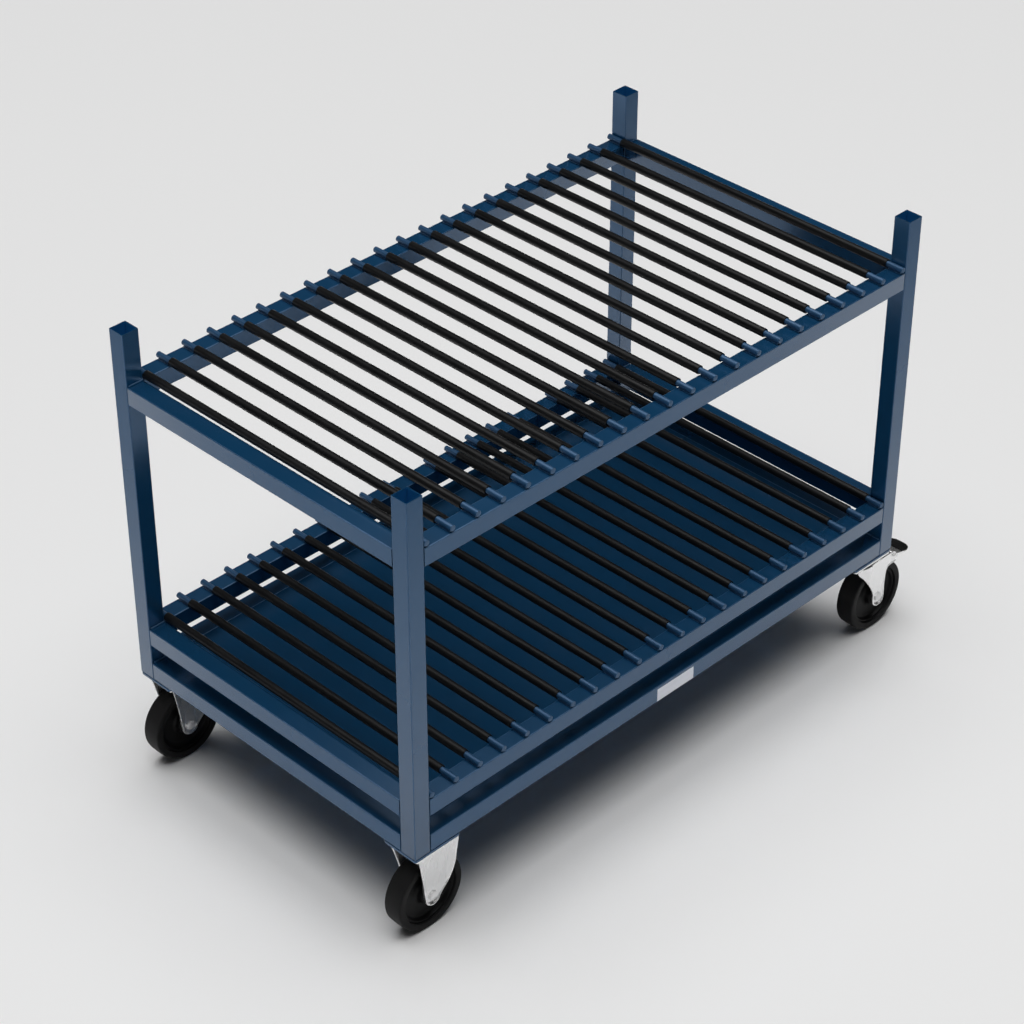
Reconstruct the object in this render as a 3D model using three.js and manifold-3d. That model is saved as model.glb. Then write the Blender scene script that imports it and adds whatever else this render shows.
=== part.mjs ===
// A two-tier toast rack trolley of welded square tube on two rigid and two braked swivel casters.
// Millimetres. +X runs to the rear, where the swivel casters are, +Y to the right side and +Z up.
import * as THREE from "three";
import { mergeVertices } from "three/addons/utils/BufferGeometryUtils.js";
import Module from "manifold-3d";

const wasm = await Module();
wasm.setup();

// Gaps and small shared sizes
const seatGap = 0.3; // between two pieces that are fixed to each other
const runningGap = 0.4; // between two pieces that turn against each other
const cutOverrun = 5; // how far a cutting tool runs past what it cuts
const weldBite = 1; // how far a joined piece reaches into the one that carries it

// Frame
const frameLength = 1800;
const frameWidth = 1034;
const postHeight = 1040;
const tubeSize = 50;
const tubeWall = 3;
const lowerRailTop = 160; // above the frame's underside
const postStandOut = 146; // of the posts, above the upper tier's rails
const deckThickness = 3;

// Rods that lie across the two long rails of each tier
const rodCount = 22;
const rodRadius = 8;
const sleeveWall = 3.5;
const rodPostClearance = 2;
const sleeveSetback = 1; // from the inner face of the rail to the sleeve's end
const rodSides = 8;
const beadHalfWidth = 2.75;
const beadSetback = 4; // from each face of the rail to the weld bead's end

// Plates between the frame and the casters
const mountPlateLength = 150;
const mountPlateWidth = 112;
const mountPlateThickness = 10;
const casterPlateLength = 146;
const casterPlateWidth = 110;
const casterPlateThickness = 6;
const fixingRadius = 5;
const fixingNutAcross = 16;
const fixingNutHeight = 8;
const fixingEndLength = 2; // thread below the nut
const fixingEdge = 17.5; // from the caster plate's end to the fixing's centre
const fixingSides = 6;
const fixingLegClearance = 2;

// Wheels
const wheelRadius = 107;
const wheelWidth = 55;
const wheelSides = 28;
const shoulderRadius = 5;
const tyreThickness = 21;
const rimThickness = 8;
const rimSetback = 3; // from the tyre's side to the rim's side
const webThickness = 14;
const hubWall = 14;
const hubStand = 1.5; // how far the hub stands out past the tyre's side
const bearingWall = 7;
const bearingSides = 16;

// Axle bolts
const axleRadius = 8;
const axleHexAcross = 24;
const axleHeadHeight = 7;
const axleNutHeight = 9;
const axleEndLength = 3; // thread past the nut

// Fork legs of all four casters
const legThickness = 3.6;
const flangeThickness = 3;
const flangeFootDepth = 5;
const flangeTopDepth = 3;
const footRadius = 27;
const footSteps = 6;

// Swivel head
const wheelHeadroom = 32; // between the wheel's top and the fork's crown
const crownThickness = 5;
const crownRadius = 50;
const crownHalfWidth = 46;
const crownSides = 24;
const raceHeight = 12;
const raceRadius = 38;
const raceGrooveDepth = 3;
const raceBore = 14;
const kingpinRadius = 9;
const kingpinHeadRadius = 14;
const kingpinHeadHeight = 3;
const kingpinNutRadius = 16;
const kingpinNutHeight = 8;
const trail = 64; // from the kingpin back to the axle

// Brake pedal, its pin and its shoe
const pedalReach = 48; // from the axle back to the pedal's pin
const pedalDrop = 18; // from the crown's underside down to the pedal's pin
const pedalLength = 94;
const pedalThickness = 10;
const pedalAngle = THREE.MathUtils.degToRad(15);
const pedalBossRadius = 9;
const pedalClearance = 1.5; // between the pedal's side and the leg
const pedalTipShare = 0.79; // rounding of the blade's two outer corners, as a share of its half-width
const pedalRoundSteps = 4;
const pinRadius = 4;
const pinHeadRadius = 7;
const pinHeadHeight = 2.5;
const shoeGap = 7; // between the wheel's tread and the released shoe
const shoeHalfWidth = 18;
const shoeStartAngle = THREE.MathUtils.degToRad(50);
const shoeEndAngle = THREE.MathUtils.degToRad(62);
const shoeSteps = 4;

// Outlines of the fork legs' edges, from the foot up. Across: shares of half the caster plate's length
// for the rigid bracket, of the trail for the swivel fork. Up: shares of the leg's height over the axle.
const rigidFrontEdgeShares = [[-0.47, 0.28], [-0.57, 0.52], [-0.68, 0.74], [-0.84, 1]];
const rigidRearEdgeShares = [[0.73, 0.15], [0.96, 0.42], [1, 0.68], [1, 1]];
const swivelFrontEdgeShares = [[0.53, 0.2], [0.15, 0.5], [-0.24, 0.73], [-0.6, 0.9], [-0.75, 1]];
const swivelRearEdgeShares = [[1.4, 0.2], [1.36, 0.42], [1.37, 0.58], [1.5, 0.67], [1.92, 0.68], [2.0, 0.8]];
const swivelTopEdgeShares = [[1.78, 0.96], [1.5, 1]];

// Sizes that follow from those above
const axleHeight = wheelRadius * Math.cos(Math.PI / wheelSides); // each wheel stands on one of its flats
const crownUnderside = axleHeight + wheelRadius + wheelHeadroom;
const crownTop = crownUnderside + crownThickness;
const raceBottom = crownTop + seatGap;
const raceTop = raceBottom + raceHeight;
const casterPlateBottom = raceTop + seatGap;
const casterPlateTop = casterPlateBottom + casterPlateThickness;
const mountPlateBottom = casterPlateTop + seatGap;
const frameBottom = mountPlateBottom + mountPlateThickness;
const mountPlateTop = frameBottom - seatGap;
const upperRailTop = postHeight - postStandOut;
const halfLength = frameLength / 2;
const halfWidth = frameWidth / 2;
const sleeveRadius = rodRadius + sleeveWall;
const rodInset = tubeSize + rodPostClearance + rodRadius;
const rodPitch = (frameLength - 2 * rodInset) / (rodCount - 1);
const sleeveHalfLength = halfWidth - tubeSize - sleeveSetback;
const casterInsetX = mountPlateLength / 2;
const casterInsetY = mountPlateWidth / 2;
const hubHalfWidth = wheelWidth / 2 + hubStand;
const bearingRadius = axleRadius + seatGap + bearingWall;
const hubRadius = bearingRadius + seatGap + hubWall;
const tyreBore = wheelRadius - tyreThickness;
const legInner = hubHalfWidth + runningGap;
const legOuter = legInner + legThickness;
const flangeFootOuter = legOuter + flangeFootDepth;
const legBend = axleHeight + footRadius;
const rigidLegTopOuter = casterPlateWidth / 2 - flangeTopDepth;
const rigidLegTopInner = rigidLegTopOuter - legThickness;
const fixingNutBottom = casterPlateBottom - seatGap - fixingNutHeight;
const legInnerShare = (fixingNutBottom - legBend) / (casterPlateBottom - legBend);
const legInnerAtNut = legInner + (rigidLegTopInner - legInner) * legInnerShare;
const fixingX = casterPlateLength / 2 - fixingEdge;
const fixingY = legInnerAtNut - fixingLegClearance - fixingNutAcross / 2;
const pinX = trail + pedalReach;
const pinZ = crownUnderside - pedalDrop;
const crownLegTopInner = crownHalfWidth - flangeTopDepth - legThickness;
const forkLegRise = crownUnderside - legBend;
const bossBottomShare = (pinZ - pedalBossRadius - legBend) / forkLegRise;
const pedalHalfWidth = legInner + (crownLegTopInner - legInner) * bossBottomShare - pedalClearance;
const pedalTipRadius = pedalHalfWidth * pedalTipShare;
const pinHeadTopShare = (pinZ + pinHeadRadius - legBend) / forkLegRise;
const pinHeadSeat = flangeFootOuter + (crownHalfWidth - flangeFootOuter) * pinHeadTopShare + seatGap;

// Materials
const bluePaint = new THREE.MeshStandardMaterial({ color: 0x24506f, roughness: 0.45, metalness: 0.1 });
const zinc = new THREE.MeshStandardMaterial({ color: 0xc9cccf, roughness: 0.35, metalness: 0.9 });
const steel = new THREE.MeshStandardMaterial({ color: 0x9a9da1, roughness: 0.4, metalness: 0.9 });
const tyreRubber = new THREE.MeshStandardMaterial({ color: 0x1c1d1f, roughness: 0.8, metalness: 0 });
const blackPlastic = new THREE.MeshStandardMaterial({ color: 0x222326, roughness: 0.55, metalness: 0 });

// A closed geometry as a solid that can be joined and cut
function solid(geometry) {
  const plain = geometry.clone();
  plain.deleteAttribute("normal");
  plain.deleteAttribute("uv");
  const merged = mergeVertices(plain);
  const vertProperties = new Float32Array(merged.attributes.position.array);
  const triVerts = new Uint32Array(merged.index.array);
  return new wasm.Manifold(new wasm.Mesh({ numProp: 3, vertProperties, triVerts }));
}

// A solid as a geometry again
function geometryOf(body) {
  const mesh = body.getMesh();
  const geometry = new THREE.BufferGeometry();
  geometry.setAttribute("position", new THREE.BufferAttribute(mesh.vertProperties, 3));
  geometry.setIndex(new THREE.BufferAttribute(mesh.triVerts, 1));
  geometry.computeVertexNormals();
  return geometry;
}

// A block between two corners
function block(low, high) {
  const geometry = new THREE.BoxGeometry(high[0] - low[0], high[1] - low[1], high[2] - low[2]);
  return geometry.translate((low[0] + high[0]) / 2, (low[1] + high[1]) / 2, (low[2] + high[2]) / 2);
}

// An outline of [across, up] points, pushed along one axis from one place to another
function prism(points, axis, from, to) {
  const shape = new THREE.Shape(points.map(([across, up]) => new THREE.Vector2(across, up)));
  const geometry = new THREE.ExtrudeGeometry(shape, { depth: to - from, bevelEnabled: false });
  const x = new THREE.Vector3(1, 0, 0);
  const y = new THREE.Vector3(0, 1, 0);
  const z = new THREE.Vector3(0, 0, 1);
  const turn = new THREE.Matrix4();
  if (axis === "x") return geometry.applyMatrix4(turn.makeBasis(y, z, x)).translate(from, 0, 0);
  if (axis === "y") return geometry.applyMatrix4(turn.makeBasis(x, z, y.negate())).translate(0, to, 0);
  return geometry.translate(0, 0, from);
}

// A closed profile of [radius, along] points turned round an axis, with its flats square to the axes
function turned(points, sides, axis) {
  const profile = [...points, points[0]].map(([radius, along]) => new THREE.Vector2(radius, along));
  const geometry = new THREE.LatheGeometry(profile, sides, Math.PI / sides);
  if (axis === "z") geometry.rotateX(Math.PI / 2);
  return geometry;
}

// A round bar along Y or Z between two places
function bar(radius, sides, axis, from, to) {
  const geometry = new THREE.CylinderGeometry(radius, radius, to - from, sides, 1, false, Math.PI / sides);
  geometry.translate(0, (from + to) / 2, 0);
  if (axis === "z") geometry.rotateX(Math.PI / 2);
  return geometry;
}

// A hexagonal bar along Y or Z, with two of its flats facing across
function hexBar(across, axis, from, to) {
  const corner = across / Math.sqrt(3);
  const geometry = new THREE.CylinderGeometry(corner, corner, to - from, 6, 1);
  geometry.translate(0, (from + to) / 2, 0);
  if (axis === "y") return geometry;
  return geometry.rotateX(Math.PI / 2).rotateZ(Math.PI / 2);
}

// A square tube along one axis, open at its ends
function squareTube(axis, from, to, across, up) {
  const half = tubeSize / 2;
  const inner = half - tubeWall;
  const square = (size) => [
    [across - size, up - size], [across + size, up - size],
    [across + size, up + size], [across - size, up + size],
  ];
  const outside = solid(prism(square(half), axis, from, to));
  return outside.subtract(solid(prism(square(inner), axis, from - cutOverrun, to + cutOverrun)));
}

// An outline moved in by a distance, corner by corner
function insetOutline(points, distance) {
  const area = points.reduce((sum, [x, y], i) => {
    const [nextX, nextY] = points[(i + 1) % points.length];
    return sum + x * nextY - nextX * y;
  }, 0);
  const turn = Math.sign(area);
  return points.map((point, i) => {
    const before = points[(i + points.length - 1) % points.length];
    const after = points[(i + 1) % points.length];
    const a = new THREE.Vector2(point[0] - before[0], point[1] - before[1]).normalize();
    const b = new THREE.Vector2(after[0] - point[0], after[1] - point[1]).normalize();
    const normalA = new THREE.Vector2(-a.y, a.x).multiplyScalar(turn);
    const normalB = new THREE.Vector2(-b.y, b.x).multiplyScalar(turn);
    const middle = normalA.clone().add(normalB).normalize();
    const reach = distance / Math.max(middle.dot(normalA), Math.SQRT1_2);
    return [point[0] + middle.x * reach, point[1] + middle.y * reach];
  });
}

// Points along a smooth line through given points
function smoothLine(points, steps) {
  const curve = new THREE.SplineCurve(points.map(([x, y]) => new THREE.Vector2(x, y)));
  return curve.getPoints(steps).map((point) => [point.x, point.y]);
}

const trolley = new THREE.Group();

// Adds a named mesh to a group
function place(group, name, shape, material) {
  const geometry = shape.isBufferGeometry ? shape : geometryOf(shape);
  const mesh = new THREE.Mesh(geometry, material);
  mesh.name = name;
  group.add(mesh);
  return mesh;
}

const ends = [["front", -1], ["rear", 1]];
const sides = [["left", -1], ["right", 1]];

// The four posts, open at their tops
function addPosts(group) {
  for (const [end, endSign] of ends) {
    for (const [side, sideSign] of sides) {
      const across = endSign * (halfLength - tubeSize / 2);
      const along = sideSign * (halfWidth - tubeSize / 2);
      const post = squareTube("z", frameBottom, frameBottom + postHeight, across, along);
      place(group, `post_${end}_${side}`, post, bluePaint);
    }
  }
}

const longRailEnd = halfLength - tubeSize - seatGap;
const shortRailEnd = halfWidth - tubeSize - seatGap;

function longRail(sideSign, top) {
  const across = sideSign * (halfWidth - tubeSize / 2);
  return squareTube("x", -longRailEnd, longRailEnd, across, frameBottom + top - tubeSize / 2);
}

function shortRail(endSign, top) {
  const across = endSign * (halfLength - tubeSize / 2);
  return squareTube("y", -shortRailEnd, shortRailEnd, across, frameBottom + top - tubeSize / 2);
}

// One rod with its sleeve, and the weld bead under each of its ends
function sleevedRod(x, railTop) {
  const rodHeight = railTop + sleeveRadius;
  const rod = bar(rodRadius, rodSides, "y", -halfWidth, halfWidth);
  const sleeve = bar(sleeveRadius, rodSides, "y", -sleeveHalfLength, sleeveHalfLength);
  let body = solid(rod).add(solid(sleeve)).translate([x, 0, rodHeight]);
  const beadOuter = halfWidth - beadSetback;
  const beadInner = halfWidth - tubeSize + beadSetback;
  for (const [, sideSign] of sides) {
    const [from, to] = [sideSign * beadInner, sideSign * beadOuter].sort((a, b) => a - b);
    const low = [x - beadHalfWidth, from, railTop - weldBite];
    body = body.add(solid(block(low, [x + beadHalfWidth, to, rodHeight])));
  }
  return body;
}

// A tier: its two long rails with the rods welded across them
function rack(top) {
  let body = longRail(-1, top).add(longRail(1, top));
  for (let i = 0; i < rodCount; i += 1) {
    body = body.add(sleevedRod(-halfLength + rodInset + i * rodPitch, frameBottom + top));
  }
  return body;
}

function addTiers(group) {
  place(group, "upper_rack", rack(upperRailTop), bluePaint);
  place(group, "lower_rack", rack(lowerRailTop), bluePaint);
  for (const [end, endSign] of ends) {
    place(group, `upper_end_rail_${end}`, shortRail(endSign, upperRailTop), bluePaint);
    place(group, `lower_end_rail_${end}`, shortRail(endSign, lowerRailTop), bluePaint);
    place(group, `base_end_rail_${end}`, shortRail(endSign, tubeSize), bluePaint);
  }
  for (const [side, sideSign] of sides) {
    place(group, `base_side_rail_${side}`, longRail(sideSign, tubeSize), bluePaint);
  }
  const deckTop = frameBottom + tubeSize;
  const low = [-longRailEnd, -shortRailEnd, deckTop - deckThickness];
  place(group, "deck_sheet", block(low, [longRailEnd, shortRailEnd, deckTop]), bluePaint);
}

// The four places of a caster plate's fixings
function fixingPlaces() {
  return [-1, 1].flatMap((across) => [-1, 1].map((along) => [across * fixingX, along * fixingY]));
}

// A plate under a corner of the frame, with its four fixing studs and their nuts below the caster plate
function mountingPlate() {
  const low = [-mountPlateLength / 2, -mountPlateWidth / 2, mountPlateBottom];
  let body = solid(block(low, [mountPlateLength / 2, mountPlateWidth / 2, mountPlateTop]));
  const studBottom = fixingNutBottom - fixingEndLength;
  const stud = solid(bar(fixingRadius, fixingSides, "z", studBottom, mountPlateBottom + weldBite));
  const nut = solid(hexBar(fixingNutAcross, "z", fixingNutBottom, fixingNutBottom + fixingNutHeight));
  for (const [x, y] of fixingPlaces()) body = body.add(stud.add(nut).translate([x, y, 0]));
  return body;
}

// A caster's top plate with its four fixing holes
function casterPlate() {
  const low = [-casterPlateLength / 2, -casterPlateWidth / 2, casterPlateBottom];
  let body = solid(block(low, [casterPlateLength / 2, casterPlateWidth / 2, casterPlateTop]));
  const from = casterPlateBottom - cutOverrun;
  const hole = solid(bar(fixingRadius + seatGap, fixingSides, "z", from, casterPlateTop + cutOverrun));
  for (const [x, y] of fixingPlaces()) body = body.subtract(hole.translate([x, y, 0]));
  return body;
}

// A leg's outline: a round foot about the axle, then a smooth edge up each side
function legOutline(axleX, acrossUnit, top, frontShares, rearShares, topShares) {
  const rise = top - axleHeight;
  const at = ([across, up]) => [across * acrossUnit, axleHeight + up * rise];
  const foot = [];
  for (let i = 0; i <= footSteps; i += 1) {
    const angle = Math.PI + (Math.PI * i) / footSteps;
    foot.push([axleX + footRadius * Math.cos(angle), axleHeight + footRadius * Math.sin(angle)]);
  }
  const rear = smoothLine([foot[footSteps], ...rearShares.map(at)], 2 * rearShares.length - 1);
  const front = smoothLine([foot[0], ...frontShares.map(at)], 2 * frontShares.length - 1);
  return [...foot, ...rear.slice(1), ...topShares.map(at), ...front.slice(1).reverse()];
}

// Two flanged legs, one on each side of the wheel, bent outwards above the hub
function legs(outline, top, topOuter, axleX) {
  const foot = axleHeight - footRadius - cutOverrun;
  const plateTopOuter = topOuter - flangeTopDepth;
  const plateTopInner = plateTopOuter - legThickness;
  const xs = outline.map(([x]) => x);
  const from = Math.min(...xs) - cutOverrun;
  const to = Math.max(...xs) + cutOverrun;
  const whole = solid(prism(outline, "y", -topOuter - cutOverrun, topOuter + cutOverrun));
  const inside = insetOutline(outline, flangeThickness);
  const middle = solid(prism(inside, "y", -topOuter - 2 * cutOverrun, topOuter + 2 * cutOverrun));
  const rim = whole.subtract(middle);
  let body = null;
  for (const [, sign] of sides) {
    const line = (footAt, topAt) => [[sign * footAt, foot], [sign * footAt, legBend], [sign * topAt, top]];
    const plateSection = [...line(legInner, plateTopInner), ...line(legOuter, plateTopOuter).reverse()];
    const rimSection = [...line(legInner, plateTopInner), ...line(flangeFootOuter, topOuter).reverse()];
    const plate = whole.intersect(solid(prism(plateSection, "x", from, to)));
    const leg = plate.add(rim.intersect(solid(prism(rimSection, "x", from, to))));
    body = body ? body.add(leg) : leg;
  }
  const reach = topOuter + cutOverrun;
  const axleHole = solid(bar(axleRadius + seatGap, bearingSides, "y", -reach, reach));
  return body.subtract(axleHole.translate([axleX, 0, axleHeight]));
}

// The bracket of a rigid caster: its plate and legs in one
function rigidBracket() {
  const top = casterPlateBottom + weldBite;
  const unit = casterPlateLength / 2;
  const outline = legOutline(0, unit, top, rigidFrontEdgeShares, rigidRearEdgeShares, []);
  return casterPlate().add(legs(outline, top, casterPlateWidth / 2, 0));
}

// The fork of a swivel caster: a crown over the wheel, its legs, and the cheeks that hold the pedal's pin
function swivelFork() {
  const top = crownUnderside + weldBite;
  const edges = [swivelFrontEdgeShares, swivelRearEdgeShares, swivelTopEdgeShares];
  const outline = legOutline(trail, trail, top, ...edges);
  const bridgeEnd = swivelTopEdgeShares.at(-1)[0] * trail;
  const disc = solid(bar(crownRadius, crownSides, "z", crownUnderside, crownTop));
  const bridge = solid(block([0, -crownHalfWidth, crownUnderside], [bridgeEnd, crownHalfWidth, crownTop]));
  const kingpinHole = bar(kingpinRadius + seatGap, bearingSides, "z", pinZ, crownTop + cutOverrun);
  const reach = crownHalfWidth + cutOverrun;
  const pinHole = bar(pinRadius + seatGap, rodSides, "y", -reach, reach).translate(pinX, 0, pinZ);
  const body = disc.add(bridge).add(legs(outline, top, crownHalfWidth, trail));
  return body.subtract(solid(kingpinHole)).subtract(solid(pinHole));
}

// The swivel's ball race, with the groove between its two rings
function swivelRace() {
  const middle = (raceBottom + raceTop) / 2;
  const half = raceGrooveDepth / 2;
  const profile = [
    [raceBore, raceTop], [raceBore, raceBottom], [raceRadius, raceBottom], [raceRadius, middle - half],
    [raceRadius - raceGrooveDepth, middle], [raceRadius, middle + half], [raceRadius, raceTop],
  ];
  return turned(profile, bearingSides, "z");
}

// The kingpin, sunk into the caster plate and closed below the crown
function kingpin() {
  const sunk = bar(kingpinHeadRadius, bearingSides, "z", casterPlateTop - kingpinHeadHeight, casterPlateTop);
  const nutTop = crownUnderside - seatGap;
  const shank = bar(kingpinRadius, bearingSides, "z", nutTop - weldBite, casterPlateTop);
  const nut = bar(kingpinNutRadius, 6, "z", nutTop - kingpinNutHeight, nutTop);
  return solid(sunk).add(solid(shank)).add(solid(nut));
}

// The plate of a swivel caster, with the seat of its kingpin
function swivelPlate() {
  const over = casterPlateTop + cutOverrun;
  const hole = bar(kingpinRadius + seatGap, bearingSides, "z", casterPlateBottom - cutOverrun, over);
  const seatBottom = casterPlateTop - kingpinHeadHeight - seatGap;
  const seat = bar(kingpinHeadRadius + seatGap, bearingSides, "z", seatBottom, over);
  return casterPlate().subtract(solid(hole)).subtract(solid(seat));
}

// The parts of a wheel, about their axle at the group's origin
function tyre() {
  const half = wheelWidth / 2;
  const corner = Math.SQRT1_2 * shoulderRadius;
  const shoulder = (sign) => [
    [wheelRadius, sign * (half - shoulderRadius)],
    [wheelRadius - shoulderRadius + corner, sign * (half - shoulderRadius + corner)],
    [wheelRadius - shoulderRadius, sign * half],
  ];
  const tread = [...shoulder(-1).reverse(), ...shoulder(1)];
  return turned([[tyreBore, -half], ...tread, [tyreBore, half]], wheelSides, "y");
}

function wheelCentre() {
  const rimRadius = tyreBore - seatGap;
  const rimHalf = wheelWidth / 2 - rimSetback;
  const rimBore = rimRadius - rimThickness;
  const bore = bearingRadius + seatGap;
  const half = webThickness / 2;
  const upper = [
    [bore, hubHalfWidth], [hubRadius, hubHalfWidth], [hubRadius, half], [rimBore, half], [rimBore, rimHalf],
    [rimRadius, rimHalf],
  ];
  const lower = upper.map(([radius, along]) => [radius, -along]);
  return turned([...lower, ...upper.reverse()], wheelSides, "y");
}

function hubBearing() {
  const bore = axleRadius + seatGap;
  const profile = [
    [bore, -hubHalfWidth], [bearingRadius, -hubHalfWidth],
    [bearingRadius, hubHalfWidth], [bore, hubHalfWidth],
  ];
  return turned(profile, bearingSides, "y");
}

// The axle's bolt has its head on the left of the fork, and its nut on the right
function axleBolt() {
  const seat = legOuter + seatGap;
  const end = seat + axleNutHeight + axleEndLength;
  const shank = bar(axleRadius, bearingSides, "y", -seat - weldBite, end);
  return solid(shank).add(solid(hexBar(axleHexAcross, "y", -seat - axleHeadHeight, -seat)));
}

function axleNut() {
  const seat = legOuter + seatGap;
  const nut = hexBar(axleHexAcross, "y", seat, seat + axleNutHeight);
  const to = seat + axleNutHeight + cutOverrun;
  const hole = bar(axleRadius + seatGap, bearingSides, "y", seat - cutOverrun, to);
  return solid(nut).subtract(solid(hole));
}

// A wheel with its axle, at its place in a caster
function addWheel(group, corner, axleX) {
  const wheel = new THREE.Group();
  wheel.position.set(axleX, 0, axleHeight);
  place(wheel, `tyre_${corner}`, tyre(), tyreRubber);
  place(wheel, `wheel_centre_${corner}`, wheelCentre(), blackPlastic);
  place(wheel, `hub_bearing_${corner}`, hubBearing(), steel);
  place(wheel, `axle_bolt_${corner}`, axleBolt(), zinc);
  place(wheel, `axle_nut_${corner}`, axleNut(), zinc);
  group.add(wheel);
}

// The pedal, about its pin at the group's origin: a boss with a blade that slopes down and back
function brakePedal() {
  const half = pedalThickness / 2;
  const tip = pedalLength - half;
  const profile = [[0, -half], [tip, -half]];
  for (let i = 1; i < pedalRoundSteps; i += 1) {
    const angle = -Math.PI / 2 + (Math.PI * i) / pedalRoundSteps;
    profile.push([tip + half * Math.cos(angle), half * Math.sin(angle)]);
  }
  profile.push([tip, half], [0, half]);
  const blade = solid(prism(profile, "y", -pedalHalfWidth, pedalHalfWidth));
  const plan = pedalPlan();
  const trimmed = blade.intersect(solid(prism(plan, "z", -pedalThickness, pedalThickness)));
  const tilted = trimmed.rotate([0, THREE.MathUtils.radToDeg(pedalAngle), 0]);
  const boss = solid(bar(pedalBossRadius, bearingSides, "y", -pedalHalfWidth, pedalHalfWidth));
  const reach = pedalHalfWidth + cutOverrun;
  const bore = solid(bar(pinRadius + seatGap, rodSides, "y", -reach, reach));
  return tilted.add(boss).subtract(bore);
}

// The pedal's outline from above, with its two outer corners rounded
function pedalPlan() {
  const points = [[-cutOverrun, -pedalHalfWidth]];
  for (const [, sign] of sides) {
    const centre = [pedalLength - pedalTipRadius, sign * (pedalHalfWidth - pedalTipRadius)];
    for (let i = 0; i <= pedalRoundSteps; i += 1) {
      const angle = (Math.PI / 2) * (i / pedalRoundSteps + Math.min(sign, 0));
      const turn = [pedalTipRadius * Math.cos(angle), pedalTipRadius * Math.sin(angle)];
      points.push([centre[0] + turn[0], centre[1] + turn[1]]);
    }
  }
  points.push([-cutOverrun, pedalHalfWidth]);
  return points;
}

// The brake shoe under the pedal's blade, hollowed to the tread
function brakeShoe() {
  const radius = wheelRadius + shoeGap;
  const points = [];
  for (let i = 0; i <= shoeSteps; i += 1) {
    const angle = shoeStartAngle + ((shoeEndAngle - shoeStartAngle) * i) / shoeSteps;
    points.push([radius * Math.cos(angle) - pedalReach, radius * Math.sin(angle) + axleHeight - pinZ]);
  }
  const under = pedalThickness / 2 + seatGap;
  const bladeUnderside = (x) => -x * Math.tan(pedalAngle) - under / Math.cos(pedalAngle);
  const back = points[0][0];
  const front = Math.max(points[shoeSteps][0], pedalBossRadius + seatGap);
  const outline = [...points.filter(([x]) => x > front), [front, points[shoeSteps][1]]];
  outline.push([front, bladeUnderside(front)], [back, bladeUnderside(back)]);
  return prism(outline, "y", -shoeHalfWidth, shoeHalfWidth);
}

// The pin through both cheeks and the pedal, with a head at each end
function pedalPin() {
  const reach = pinHeadSeat + weldBite;
  let body = solid(bar(pinRadius, rodSides, "y", -reach, reach));
  for (const [, sign] of sides) {
    const faces = [sign * pinHeadSeat, sign * (pinHeadSeat + pinHeadHeight)];
    const [from, to] = faces.sort((a, b) => a - b);
    body = body.add(solid(bar(pinHeadRadius, rodSides, "y", from, to)));
  }
  return body;
}

function addRigidCaster(group, corner) {
  place(group, `caster_bracket_${corner}`, rigidBracket(), zinc);
  addWheel(group, corner, 0);
}

function addSwivelCaster(group, corner) {
  place(group, `caster_plate_${corner}`, swivelPlate(), zinc);
  place(group, `kingpin_${corner}`, kingpin(), zinc);
  place(group, `swivel_race_${corner}`, swivelRace(), steel);
  place(group, `caster_fork_${corner}`, swivelFork(), zinc);
  addWheel(group, corner, trail);
  const pedal = new THREE.Group();
  pedal.position.set(pinX, 0, pinZ);
  place(pedal, `brake_pedal_${corner}`, brakePedal(), blackPlastic);
  place(pedal, `brake_shoe_${corner}`, brakeShoe(), steel);
  place(pedal, `pedal_pin_${corner}`, pedalPin(), zinc);
  group.add(pedal);
}

// The casters and the plates that they hang from, one set under each corner
function addCasters(group) {
  for (const [end, endSign] of ends) {
    for (const [side, sideSign] of sides) {
      const corner = `${end}_${side}`;
      const caster = new THREE.Group();
      caster.position.set(endSign * (halfLength - casterInsetX), sideSign * (halfWidth - casterInsetY), 0);
      place(caster, `mounting_plate_${corner}`, mountingPlate(), bluePaint);
      if (end === "front") addRigidCaster(caster, corner);
      else addSwivelCaster(caster, corner);
      group.add(caster);
    }
  }
}

addPosts(trolley);
addTiers(trolley);
addCasters(trolley);

// The origin is on the floor, under the middle of the whole trolley with its wheels and pedals
trolley.updateMatrixWorld(true);
const extent = new THREE.Box3().setFromObject(trolley, true);
trolley.position.x = -(extent.min.x + extent.max.x) / 2;

export default trolley;
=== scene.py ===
"""A toast rack trolley: two tiers of sleeved rods in a blue tube frame, on rigid and braked swivel casters.

Metres, +X to the rear, +Y to the right side and +Z up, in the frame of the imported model.
"""

import math

import bmesh
import bpy
import numpy as np
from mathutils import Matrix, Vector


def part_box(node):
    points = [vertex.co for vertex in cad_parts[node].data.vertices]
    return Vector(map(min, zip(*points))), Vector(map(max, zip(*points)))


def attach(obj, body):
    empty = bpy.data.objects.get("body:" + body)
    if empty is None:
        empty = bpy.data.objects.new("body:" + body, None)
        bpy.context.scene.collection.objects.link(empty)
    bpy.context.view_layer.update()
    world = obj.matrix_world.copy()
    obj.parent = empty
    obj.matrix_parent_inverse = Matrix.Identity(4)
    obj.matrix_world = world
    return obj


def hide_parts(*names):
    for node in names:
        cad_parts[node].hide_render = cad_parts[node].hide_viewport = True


bl_info = {
    "name": "Toast Rack Trolley",
    "version": (1, 0, 0),
    "blender": (4, 5, 0),
    "location": "View3D > Sidebar > Trolley",
    "description": "Dresses the packed toast rack trolley: frame, racks, casters and studio",
    "category": "Add Mesh",
}

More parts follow.
